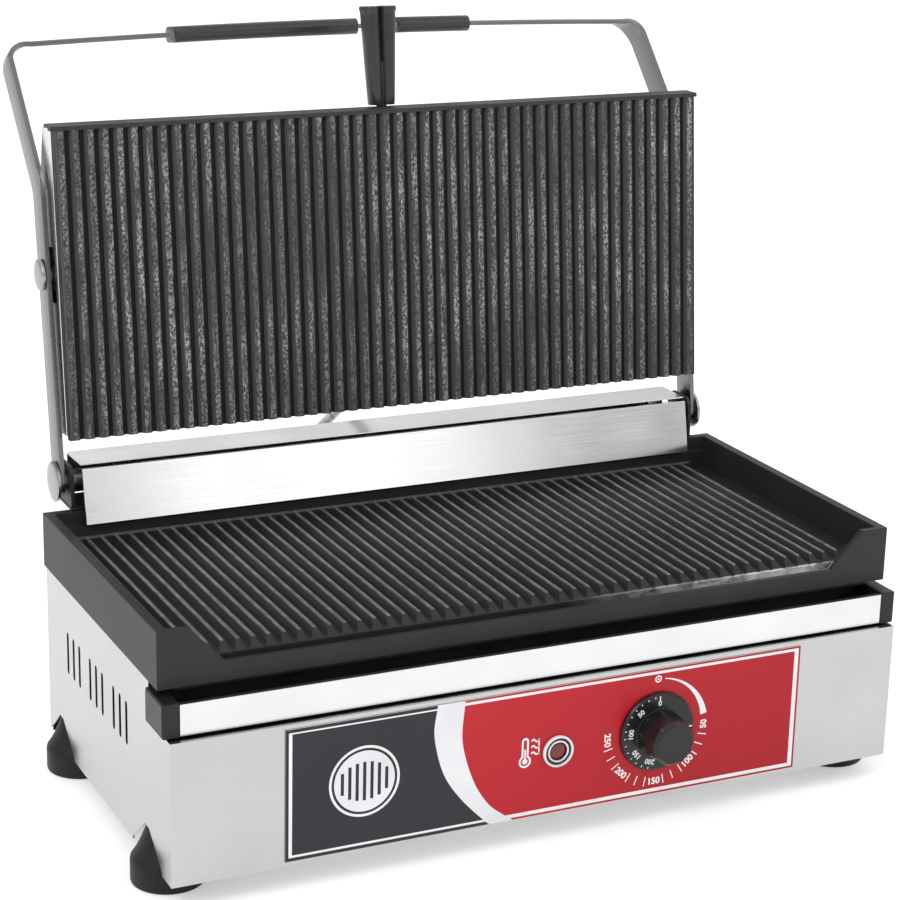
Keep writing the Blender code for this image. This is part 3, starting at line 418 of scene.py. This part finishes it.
# ---- sheet metal, castings and black mouldings ----------------------------------------------
def shaped_nodes():
    refine("housing_shell", 0.35, "steel_panel", "base")
    refine("bottom_cover", 0.2, "steel_panel", "base")
    refine("rear_panel", 0.2, "steel_panel", "base")
    refine("lower_grill_casting", 0.55, "iron_lower", "base")
    refine("upper_grill_casting", 0.35, "iron_upper", "plate")
    refine("upper_cover", 0.35, "steel_cover", "plate")
    refine("hinge_top_cover", 0.35, "steel_cover", "base")
    refine("hinge_front_strip", 0.25, "steel_mirror", "base")
    refine("hinge_bracket_left", 0.25, "dark_steel", "base")
    refine("hinge_bracket_right", 0.25, "dark_steel", "base")
    refine("hinge_base_plate", 0.25, "dark_steel", "base")
    # Painted shade: the channel's faces behind its front take the dark look, standing in for the shade
    # inside it.
    front_face = M(0, 5.5, 0).y
    refine("drawer_channel", 0.25, ["steel_cover", "dark_steel"], "drawer",
           second=lambda face: face.calc_center_median().y > front_face + 0.0006)
    refine("drawer_end_cap_left", 0.6, "black_cap", "drawer")
    refine("drawer_end_cap_right", 0.6, "black_cap", "drawer")
    refine("thermostat_knob", 0.5, "black_knob", "knob", 3, 20.0)
    refine("cable_gland", 0.3, "black_cap", "base")
    refine("terminal_block", 0.5, "black_cap", "base")
    refine("thermostat_body", 0.8, "black_cap", "base")


KEPT = {
    "hinge_shaft": "steel_turned", "handle_stud": "dark_steel", "thermostat_shaft": "steel_turned",
    "pivot_washer_left": "steel_turned", "pivot_washer_right": "steel_turned",
    "conduit_gland_base": "steel_hose", "conduit_gland_cover": "steel_hose",
    "hinge_spring_left": "steel_turned", "hinge_spring_right": "steel_turned",
    "front_label": "ink_white", "pilot_lamp_holder": "black_cap", "lower_element_clamp": "dark_steel",
    "lower_insulation": "wool", "upper_insulation": "wool", "lower_heating_element": "sheath",
    "upper_heating_element": "sheath", "thermostat_capillary": "copper", "thermostat_bulb": "copper",
    "lead_element": "wire", "lead_lamp": "wire", "lead_thermostat": "wire",
}


def kept_nodes():
    """CAD nodes that stay as they are, each given a procedural finish."""
    for node, look in KEPT.items():
        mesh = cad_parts[node].data
        mesh.materials.clear()
        mesh.materials.append(LOOK[look])
        for face in mesh.polygons:
            face.material_index = 0


def feet():
    """Round feet: a drum at the floor and a hollow-sided cone up to a rounded tip."""
    profile = [(0.0, -FLOOR_DROP), (22.6, -FLOOR_DROP), (23.4, -16.6), (23.8, -15.6), (23.8, -2.2),
               (23.4, -0.6), (22.4, 0.9), (20.6, 3.6), (18.9, 6.8), (17.4, 10.0), (16.0, 13.2),
               (14.8, 16.2), (13.7, 18.8), (12.6, 20.8), (11.2, 21.9), (9.4, 22.2), (0.0, 22.2)]
    for side, sign in (("left", -1), ("right", 1)):
        for row, y in (("front", 46.0), ("rear", 228.0)):
            form = turned(profile, "Z", M(sign * 246.5, y, 0))
            piece(f"foot_{row}_{side}_turned", form, "black_foot", "base", [f"foot_{row}_{side}"])


# ---- lever frame ----------------------------------------------------------------------------
def lean(angle):
    return Vector((0.0, math.sin(angle), math.cos(angle)))


def frame_stations():
    """Centre, lean, turn and half width along the left half of the bent bar, in millimetres from
    the hinge: a round end, the straight side, a bend backwards and the corner to the crossbar."""
    upper, side = math.radians(43.3), -246.95
    straight, slope, half_wide = 199.2, 97.5, 10.0
    made = []
    for s in (-9.9, -9.0, -7.4, -5.2, -2.6, 0.0):
        half_chord = math.sqrt(half_wide ** 2 - s * s)
        made.append((Vector((side, 0, 0)) + lean(ARM_LEAN) * s, ARM_LEAN, 0.0, half_chord))
    radius, turn = 30.0, upper - ARM_LEAN
    back = radius * math.tan(turn / 2)
    for s in (40.0, 90.0, 140.0, straight - back):
        made.append((Vector((side, 0, 0)) + lean(ARM_LEAN) * s, ARM_LEAN, 0.0, half_wide))
    point = made[-1][0].copy()
    steps = 8
    for k in range(steps):
        point = point + lean(ARM_LEAN + turn * (k + 0.5) / steps) * (radius * turn / steps)
        made.append((point.copy(), ARM_LEAN + turn * (k + 1) / steps, 0.0, half_wide))
    point = Vector((side, 0, 0)) + lean(ARM_LEAN) * straight + lean(upper) * slope
    made.append((point.copy(), upper, 0.0, half_wide))
    corner, steps = 16.0, 16
    quarter = math.pi / 2
    for k in range(steps):
        middle = quarter * (k + 0.5) / steps
        here = upper + (GRIP_LEAN - upper) * (k + 0.5) / steps
        heading = lean(here) * math.cos(middle) + Vector((1, 0, 0)) * math.sin(middle)
        point = point + heading * (corner * quarter / steps)
        ahead = (k + 1) / steps
        made.append((point.copy(), upper + (GRIP_LEAN - upper) * ahead, quarter * ahead, half_wide))
    return made


def crossbar(x):
    """Centre of the crossbar at x; the bar bows up a little towards its middle."""
    bow = 4.0
    end = frame_stations()[-1][0]
    rise = bow * (1 - (x / end.x) ** 2)
    return Vector((x, end.y + rise * math.sin(GRIP_LEAN), end.z + rise * math.cos(GRIP_LEAN)))


def bar_ring(point, angle, turn, half_wide, half_thick, corner):
    """Rounded rectangle across the bar, in the row frame."""
    wide = Vector((0.0, math.cos(angle), -math.sin(angle)))
    out = Vector((-1, 0, 0)) * math.cos(turn) + lean(angle) * math.sin(turn)
    corner = min(corner, half_wide * 0.9)
    ring = []
    for sx, sy, start in ((1, 1, 0), (-1, 1, 90), (-1, -1, 180), (1, -1, 270)):
        across, through = sx * (half_wide - corner), sy * (half_thick - corner)
        for a, b in arc(across, through, corner, start, start + 90, 3):
            at = point + wide * a + out * b
            ring.append(M(at.x, at.y + HINGE[0], at.z + HINGE[1]))
    return ring


def mirror(ring):
    return [Vector((-p.x, p.y, p.z)) for p in ring]


def lever_frame():
    left = [bar_ring(p, a, t, w, 1.75, 0.55) for p, a, t, w in frame_stations()]
    middle = [bar_ring(crossbar(x), GRIP_LEAN, math.pi / 2, 10.0, 1.75, 0.55)
              for x in (-190, -150, -110, -70, -30, 0, 30, 70, 110, 150, 190)]
    form = loft(left + middle + [mirror(ring) for ring in reversed(left)])
    piece("lever_bar", form, "steel_bar", "arm", ["arm_frame"], 30.0)
    sleeve("sleeve_long", "grip_sleeve_left", -128, 12)
    sleeve("sleeve_short", "grip_sleeve_right", 43, 101.5)


def sleeve(name, node, start, end):
    """Moulded sleeve round the crossbar, its ends drawn in over the last millimetre."""
    cuts = [(0, 0.80), (0.35, 0.93), (1.0, 1.0)]
    spots = [start + d for d, _ in cuts]
    spots += [start + (end - start) * k / 6 for k in range(1, 6)]
    spots += [end - d for d, _ in reversed(cuts)]
    sizes = [g for _, g in cuts] + [1.0] * 5 + [g for _, g in reversed(cuts)]
    rings = [bar_ring(crossbar(x), GRIP_LEAN, math.pi / 2, 11.75 * grow, 5.7 * grow, 4.6 * grow)
             for x, grow in zip(spots, sizes)]
    piece(name, loft(rings), "black_handle", "arm", [node], 50.0)


def pivots():
    """Low domed heads of the four pivot bolts."""
    for side, sign in (("left", -1), ("right", 1)):
        for name, radius, at, body in (("hinge_bolt", 13.8, HINGE, "arm"),
                                       ("plate_pivot_bolt", 10.5, PIVOT, "plate")):
            profile = [(3.9, 244.0 if radius > 12 else 246.0), (3.9, 249.0), (radius - 0.4, 249.0),
                       (radius, 249.35), (radius, 251.2)]
            profile += [(radius * math.cos(math.radians(a)), 251.2 + 1.6 * math.sin(math.radians(a)))
                        for a in range(15, 91, 15)]
            form = turned([(r, sign * x) for r, x in profile], "X", M(0, at[0], at[1]))
            piece(f"{name}_{side}_head", form, "steel_turned", body, [f"{name}_{side}"], 45.0)


# ---- centre handle --------------------------------------------------------------------------
def handle():
    """Tapered grip of two round lobes with a deep groove between them, flared at its tip."""
    rings = []
    bottom, top, middle = 101.9, 170.0, -6.6
    spots = [(0.0, 9.2), (0.012, 9.8), (0.2, 10.4), (0.45, 11.2), (0.7, 11.9), (0.9, 12.5), (0.945, 12.6),
             (0.965, 13.3), (0.99, 13.3), (1.0, 12.8)]
    for along, half in spots:
        z = bottom + (top - bottom) * along
        lobe = half * 0.512
        ring = []
        for sx, start, end in ((-1, 18, 342), (1, -162, 162)):
            for a, b in arc(sx * (half - lobe), 0, lobe, start, end, 18):
                ring.append(P(a, middle + 2.4 * along + b * 1.28, z))
        rings.append(ring)
    piece("centre_grip", loft(rings), "black_handle", "plate", ["centre_handle"], 40.0)


# ---- conduit --------------------------------------------------------------------------------
CONDUIT = [(-55, 292.0, 173.5), (-55, 297.5, 173.2), (-52.5, 304.5, 172.0), (-46.0, 311.5, 172.2),
           (-36.0, 317.0, 176.5), (-26.0, 319.0, 184.5), (-17.0, 317.5, 193.5), (-11.0, 312.0, 201.5),
           (-6.5, 304.0, 208.5), (-5.0, 296.0, 213.8), (-5.0, 289.3, 217.5)]


def between(a, b, c, d, t):
    """Catmull-Rom value at t between b and c."""
    lower = 2 * b + (c - a) * t + (2 * a - 5 * b + 4 * c - d) * t * t
    return 0.5 * (lower + (3 * b - a - 3 * c + d) * t ** 3)


def spline(points, spacing):
    """Evenly spaced points on a smooth curve through the given ones."""
    ends = [2 * points[0] - points[1]] + points + [2 * points[-1] - points[-2]]
    dense = []
    for a, b, c, d in zip(ends, ends[1:], ends[2:], ends[3:]):
        for k in range(40):
            t = k / 40
            dense.append(between(a, b, c, d, t))
    dense.append(points[-1])
    total = sum((q - p).length for p, q in zip(dense, dense[1:]))
    count = round(total / spacing)
    even, walked = [dense[0]], 0.0
    for p, q in zip(dense, dense[1:]):
        step = (q - p).length
        while walked + step >= total * len(even) / count and len(even) < count:
            even.append(p.lerp(q, (total * len(even) / count - walked) / step))
        walked += step
    return even + [dense[-1]]


def corrugated(points, radius, depth):
    """Tube whose rings swell and shrink in turn, carried along the points without twist."""
    side = Vector((1, 0, 0))
    rings = []
    for k, point in enumerate(points):
        along = (points[min(k + 1, len(points) - 1)] - points[max(k - 1, 0)]).normalized()
        side = (side - along * side.dot(along)).normalized()
        up = along.cross(side)
        size = (radius - (depth if k % 2 else 0.0)) / 1000.0
        turns = [2 * math.pi * s / 16 for s in range(16)]
        rings.append([point + (side * math.cos(t) + up * math.sin(t)) * size for t in turns])
    return loft(rings)


def conduit():
    """The flexible conduit in two stretches, both fixed in the row frame."""
    points = spline([M(*p) for p in CONDUIT], 0.00105)
    half = len(points) // 2
    lower = piece("conduit_lower", corrugated(points[:half + 1], 4.15, 0.65), "steel_hose", None,
                  ["upper_lead_conduit"], 60.0)
    upper = piece("conduit_upper", corrugated(points[half:], 4.15, 0.65), "steel_hose", None, [], 60.0)
    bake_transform(lower)
    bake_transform(upper)


# ---- front label, lamp and dial --------------------------------------------------------------
FIELD_Y = -0.842
BORDER_Y = -0.845
PRINT_Y = -0.870


def filled(form, points):
    """Triangles that fill one outline."""
    corners = [form.verts.new(point) for point in points]
    for triangle in tessellate_polygon([points]):
        form.faces.new([corners[k] for k in triangle])


def print_piece(name, form, look, body):
    """A flat printed piece, all its faces turned to the front."""
    for face in form.faces:
        face.normal_update()
        if face.normal.y > 0:
            face.normal_flip()
    mesh = bpy.data.meshes.new(name)
    form.to_mesh(mesh)
    form.free()
    mesh.materials.append(LOOK[look])
    made = bpy.data.objects.new(name, mesh)
    bpy.context.scene.collection.objects.link(made)
    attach(made, body)
    return made


def shapes(name, outlines, look, y=PRINT_Y, body="base"):
    """Printed (x, z) outlines in one piece, at y in front of the panel."""
    form = bmesh.new()
    for outline in outlines:
        filled(form, [M(x, y, z) for x, z in outline])
    return print_piece(name, form, look, body)


def curve_through(points, steps=8):
    """Catmull-Rom points through (x, z) pairs."""
    ends = [(2 * points[0][0] - points[1][0], 2 * points[0][1] - points[1][1])] + points + [
        (2 * points[-1][0] - points[-2][0], 2 * points[-1][1] - points[-2][1])]
    made = []
    for a, b, c, d in zip(ends, ends[1:], ends[2:], ends[3:]):
        for k in range(steps):
            t = k / steps
            made.append(tuple(between(a[i], b[i], c[i], d[i], t) for i in (0, 1)))
    return made + [points[-1]]


def stroke(points, widths):
    """Outline of a line of changing width through (x, z) points."""
    left, right = [], []
    for k, (x, z) in enumerate(points):
        ax, az = points[max(k - 1, 0)]
        bx, bz = points[min(k + 1, len(points) - 1)]
        length = math.hypot(bx - ax, bz - az)
        nx, nz = -(bz - az) / length, (bx - ax) / length
        half = (widths[k] if isinstance(widths, list) else widths) / 2
        left.append((x + nx * half, z + nz * half))
        right.append((x - nx * half, z - nz * half))
    return left + right[::-1]


def ring_shape(cx, cz, outer, inner, start=0, end=360, steps=40):
    return arc(cx, cz, outer, start, end, steps) + arc(cx, cz, inner, end, start, steps)


def rect(x0, z0, x1, z1):
    return [(x0, z0), (x1, z0), (x1, z1), (x0, z1)]


def across_at(edge, z):
    """The (x, z) point where an edge that runs downwards crosses height z."""
    for (ax, az), (bx, bz) in zip(edge, edge[1:]):
        if min(az, bz) <= z <= max(az, bz) and az != bz:
            return ax + (bx - ax) * (z - az) / (bz - az), z


def clipped(edge, low, top):
    """The part of an edge that lies between two heights, from the top down."""
    return [across_at(edge, top)] + [p for p in edge if low < p[1] < top] + [across_at(edge, low)]


def label():
    """Printed front: dark field, silver crescent and red field, each field in its own border line."""
    left, low, right, top = -186.5, 3.7, 184.5, 92.3
    red_line, dark_line = 1.4, 2.3
    dark_edge = curve_through([(-84.0, top), (-84.6, 88.5), (-86.0, 71.0), (-79.3, 45.1), (-66.5, 25.1),
                               (-49.1, 6.6), (-45.0, low)])
    red_edge = curve_through([(-65.0, top), (-65.3, 88.7), (-66.3, 64.2), (-58.3, 37.1), (-47.4, 18.7),
                              (-35.5, 8.3), (-29.0, low)])
    field_left, field_low, field_right, field_top = -181.9, 7.6, 179.9, 89.0
    edge = clipped(dark_edge, field_low, field_top)
    shapes("label_dark_field", [[(field_left, field_top)] + edge + [(field_left, field_low)]], "ink_black",
           FIELD_Y)
    edge = clipped(red_edge, field_low, field_top)
    shapes("label_red_field", [[(field_right, field_low), (field_right, field_top)] + edge], "ink_red",
           FIELD_Y)
    upper = clipped(dark_edge, top - dark_line, top)
    lower = clipped(dark_edge, low, low + dark_line)
    shapes("label_dark_border", [rect(left, low + dark_line, left + dark_line, top - dark_line),
                                 [(left, top)] + upper + [(left, top - dark_line)],
                                 [(left, low + dark_line)] + lower + [(left, low)]], "ink_black", BORDER_Y)
    upper = clipped(red_edge, top - red_line, top)
    lower = clipped(red_edge, low, low + red_line)
    shapes("label_red_border", [rect(right - red_line, low + red_line, right, top - red_line),
                                [(right, top - red_line), (right, top)] + upper,
                                [(right, low), (right, low + red_line)] + lower], "ink_red", BORDER_Y)
    shapes("label_crescent", [dark_edge + red_edge[::-1]], "ink_silver", FIELD_Y)
    badge()
    thermometer()
    dial()


def badge():
    """Plain round badge with upright bars: a generic sign for a ribbed grill."""
    cx, cz = -133.5, 49.5
    bars, gap, reach, half_wide = 7, 5.0, 18.2, 1.1
    shapes("badge_ring", [ring_shape(cx, cz, 24.0, 22.3, 0, 359.9, 60)], "ink_white")
    shapes("badge_disc", [arc(cx, cz, 20.6, 0, 354, 48)], "ink_silver", PRINT_Y + 0.004)
    outlines = []
    for k in range(bars):
        x = cx + gap * (k - (bars - 1) / 2)
        half = math.sqrt(reach ** 2 - (x - cx) ** 2) * 0.72
        outlines.append(rect(x - half_wide, cz - half, x + half_wide, cz + half))
    shapes("badge_bars", outlines, "ink_black", PRINT_Y - 0.002)


def thermometer():
    """Heating sign: a thermometer with three waves of heat beside it."""
    cx, cz = -21.5, 49.2
    outline = arc(cx, cz - 6.0, 4.4, 125, 415, 24) + arc(cx, cz + 8.0, 2.5, 0, 180, 8)
    shapes("sign_thermometer", [outline], "white_print")
    inner = arc(cx, cz - 6.0, 3.1, 112, 428, 20) + arc(cx, cz + 7.8, 1.2, 0, 180, 6)
    shapes("sign_thermometer_inner", [inner], "ink_red", PRINT_Y - 0.004)
    mercury = arc(cx, cz - 6.0, 1.9, 105, 435, 16) + arc(cx, cz + 2.0, 0.5, 0, 180, 4)
    shapes("sign_thermometer_bulb", [mercury], "white_print", PRINT_Y - 0.008)
    waves = []
    for k in range(3):
        z = cz + 7.6 - 4.4 * k
        line = curve_through([(cx + 4.4, z), (cx + 6.0, z + 0.9), (cx + 8.0, z - 0.9), (cx + 10.2, z)], 4)
        waves.append(stroke(line, 1.1))
    waves.append(stroke([(cx + 9.9, cz + 8.6), (cx + 9.9, cz - 2.4)], 0.9))
    shapes("sign_waves", waves, "white_print")


def lettering(name, text, x, y, z, size, turn, look, body):
    """Flat figures facing the front, turned about the viewing axis and a little bolder than the font."""
    curve = bpy.data.curves.new(name, "FONT")
    curve.body = text
    curve.size = size / 1000.0
    curve.align_x = "CENTER"
    curve.align_y = "CENTER"
    curve.offset = size * 0.00003
    loose = bpy.data.objects.new(name + "_text", curve)
    mesh = bpy.data.meshes.new_from_object(loose)
    bpy.data.objects.remove(loose)
    bpy.data.curves.remove(curve)
    mesh.name = name
    mesh.materials.clear()
    mesh.materials.append(LOOK[look])
    spin = Matrix.Rotation(math.radians(90), 4, "X") @ Matrix.Rotation(turn, 4, "Z")
    mesh.transform(Matrix.Translation(M(x, y, z)) @ spin)
    made = bpy.data.objects.new(name, mesh)
    bpy.context.scene.collection.objects.link(made)
    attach(made, body)
    return made


DIAL = (75.0, 49.0)
KNOB_PRINT_Y = -4.55


def around(radius, degrees):
    """The (x, z) point on a circle about the dial's centre, clockwise from its top."""
    turn = math.radians(degrees)
    return DIAL[0] + radius * math.sin(turn), DIAL[1] + radius * math.cos(turn)


def dial():
    """Print round the knob: zero mark, widening sweep, ticks and the figures 50 to 250."""
    radius, first, step, ticks_per_figure = 36.4, 92, 44, 4
    top = around(radius, 0)
    shapes("dial_zero_mark", [ring_shape(*top, 2.5, 1.6, 0, 359.9, 24), arc(*top, 0.8, 0, 340, 12)],
           "white_print")
    sweep = [around(radius, a) for a in range(8, 83, 4)]
    widths = [0.7 + 4.1 * (k / (len(sweep) - 1)) ** 1.3 for k in range(len(sweep))]
    shapes("dial_sweep", [stroke(sweep, widths)], "white_print")
    figures = ("50", "100", "150", "200", "250")
    ticks = []
    for k in range(ticks_per_figure * (len(figures) - 1) + 1):
        if k % ticks_per_figure:
            turn = first + step / ticks_per_figure * k
            ticks.append(stroke([around(33.0, turn), around(39.6, turn)], 0.75))
    shapes("dial_ticks", ticks, "white_print")
    for k, text in enumerate(figures):
        turn = first + step * k
        x, z = around(radius, turn)
        lettering(f"dial_figure_{text}", text, x, PRINT_Y, z, 6.4, math.radians(180 - turn), "white_print",
                  "base")
    knob_print()


def knob_print():
    """Marks and figures on the knob's skirt; they turn with it."""
    cx, cz = DIAL
    marks = [stroke([(cx, cz + 25.6), (cx, cz + 22.6)], 0.9)]
    marks.append(stroke([(cx + 22.4, cz + 0.6), (cx + 25.4, cz + 0.8)], 0.9))
    marks += [stroke([around(24.4, a), around(25.9, a)], 0.55) for a in range(196, 356, 12)]
    shapes("knob_ticks", marks, "white_print", KNOB_PRINT_Y, "knob")
    for text, a in (("0", 0), ("50", 318), ("100", 274), ("150", 230), ("200", 196)):
        x, z = around(20.6, a)
        lettering(f"knob_figure_{text}", text, x, KNOB_PRINT_Y - 0.01, z, 5.0, -math.radians(a),
                  "white_print", "knob")


def lamp():
    """Pilot lamp: a bright outer ring, a dark recess, a thin inner ring and a domed red lens."""
    centre = M(2.0, 0, 47.0)
    ring = [(9.3, -1.1), (10.7, -1.1), (10.9, -1.4), (10.9, -2.6), (10.6, -3.3), (10.1, -3.6), (9.6, -3.4),
            (9.3, -2.6)]
    form = turned(ring, "Y", centre, closed=True)
    piece("lamp_ring", form, "lamp_white", "base", ["pilot_lamp_bezel"], 60.0)
    cup = [(6.3, -1.1), (9.25, -1.1), (9.25, -2.3), (8.4, -2.0), (7.5, -2.0), (6.3, -2.0)]
    piece("lamp_cup", turned(cup, "Y", centre, closed=True), "black_knob", "base", [], 60.0)
    inner = [(6.35, -2.02), (7.5, -2.02), (7.5, -2.6), (7.1, -2.9), (6.7, -2.9), (6.35, -2.5)]
    piece("lamp_inner_ring", turned(inner, "Y", centre, closed=True), "lamp_white", "base", [], 60.0)
    dome = [(0.0, -2.1), (1.6, -2.05), (3.2, -1.95), (4.6, -1.65), (5.6, -1.3), (6.1, -0.9), (6.1, 4.9),
            (0.0, 4.9)]
    piece("lamp_lens", turned(dome, "Y", centre), "lens", "base", ["pilot_lamp_lens"], 50.0)


# ---- setting --------------------------------------------------------------------------------
CAMERA_AT = (-693.381, -1275.819, 697.531)
CAMERA_TURN = math.radians(-25.6856)
CAMERA_RISE = math.radians(17.2128)
CAMERA_ROLL = math.radians(1.4032)
FOCAL_PER_FRAME = 2445.2 / 900.0
SENSOR = 36.0
STUDIO_HALF_WIDTH = 22.0
LIGHTS = (("key", (-1.9, -1.2, 2.4), (0.0, 0.0, 0.2), 1.2, 22.0),
          ("fill", (1.9, -2.2, 1.9), (0.0, 0.0, 0.25), 2.0, 8.0),
          ("back", (0.4, 2.4, 2.2), (0.0, 0.1, 0.3), 2.2, 5.0))


def camera():
    """Camera at the photo's view, to the left of the front and a little above."""
    scene = bpy.context.scene
    made = bpy.data.objects.new("camera", bpy.data.cameras.new("camera"))
    scene.collection.objects.link(made)
    scene.camera = made
    made.data.sensor_width = SENSOR
    made.data.lens = FOCAL_PER_FRAME * SENSOR
    made.data.clip_start, made.data.clip_end = 0.05, 60.0
    level = math.cos(CAMERA_RISE)
    back = Vector((math.sin(CAMERA_TURN) * level, -math.cos(CAMERA_TURN) * level, math.sin(CAMERA_RISE)))
    right = (-back).cross(Vector((0, 0, 1))).normalized()
    up = right.cross(-back)
    rolled_right = math.cos(CAMERA_ROLL) * right + math.sin(CAMERA_ROLL) * up
    rolled_up = -math.sin(CAMERA_ROLL) * right + math.cos(CAMERA_ROLL) * up
    made.matrix_world = Matrix((rolled_right, rolled_up, back)).transposed().to_4x4()
    made.location = M(*CAMERA_AT)


def smooth_range(tree, source, from_low, from_high, low, high):
    made = tree.nodes.new("ShaderNodeMapRange")
    made.interpolation_type = "SMOOTHSTEP"
    set_range(made, from_low, from_high, low, high)
    tree.links.new(source, made.inputs["Value"])
    return made.outputs["Result"]


def studio_world():
    """Soft studio surround: even above, dimmer at the sides, with a bright patch before the front."""
    world = bpy.data.worlds.new("studio")
    bpy.context.scene.world = world
    world.use_nodes = True
    tree = world.node_tree
    shade = tree.nodes["Background"]
    coords = tree.nodes.new("ShaderNodeTexCoord").outputs["Generated"]
    dot = tree.nodes.new("ShaderNodeVectorMath")
    dot.operation = "DOT_PRODUCT"
    dot.inputs[1].default_value = Vector((0.362, -0.932, 0.08)).normalized()
    tree.links.new(coords, dot.inputs[0])
    split = tree.nodes.new("ShaderNodeSeparateXYZ")
    tree.links.new(coords, split.inputs[0])
    join = tree.nodes.new("ShaderNodeMix")
    join.inputs[3].default_value = 1.02
    tree.links.new(smooth_range(tree, split.outputs["Z"], 0.16, 0.42, 0.0, 1.0), join.inputs[0])
    tree.links.new(smooth_range(tree, dot.outputs["Value"], 0.9945, 0.9993, 0.54, 1.45), join.inputs[2])
    tree.links.new(join.outputs[0], shade.inputs["Strength"])
    shade.inputs["Color"].default_value = (0.97, 0.975, 0.985, 1)


def studio_floor():
    """Plain pale floor that glows a little, just below the feet."""
    form = bmesh.new()
    bmesh.ops.create_grid(form, x_segments=8, y_segments=8, size=STUDIO_HALF_WIDTH)
    mesh = bpy.data.meshes.new("studio_floor")
    form.to_mesh(mesh)
    form.free()
    n = Nodes("studio_floor", (0.80, 0.80, 0.80), 0.9, 0.0, 0.1)
    n.colour(n.mix(n.ramp(n.noise(0.5), 0, 1), (0.795, 0.795, 0.795), (0.805, 0.805, 0.805)))
    n.out.inputs["Emission Color"].default_value = (1, 1, 1, 1)
    n.out.inputs["Emission Strength"].default_value = 0.38
    mesh.materials.append(n.mat)
    floor = bpy.data.objects.new("studio_floor", mesh)
    floor.location.z = -0.0002
    bpy.context.scene.collection.objects.link(floor)


def studio_lights():
    """Three soft square lights, each aimed at a point on the press."""
    for name, at, aim, size, power in LIGHTS:
        data = bpy.data.lights.new(name, "AREA")
        data.shape = "SQUARE"
        data.size = size
        data.energy = power
        item = bpy.data.objects.new(name, data)
        item.location = at
        item.rotation_mode = "QUATERNION"
        item.rotation_quaternion = (Vector(aim) - Vector(at)).to_track_quat("-Z", "Y")
        bpy.context.scene.collection.objects.link(item)


def setting():
    bpy.context.scene.view_settings.view_transform = "Standard"
    camera()
    studio_world()
    studio_floor()
    studio_lights()


shaped_nodes()
kept_nodes()
feet()
lever_frame()
pivots()
handle()
conduit()
label()
lamp()
setting()

bpy.context.view_layer.update()
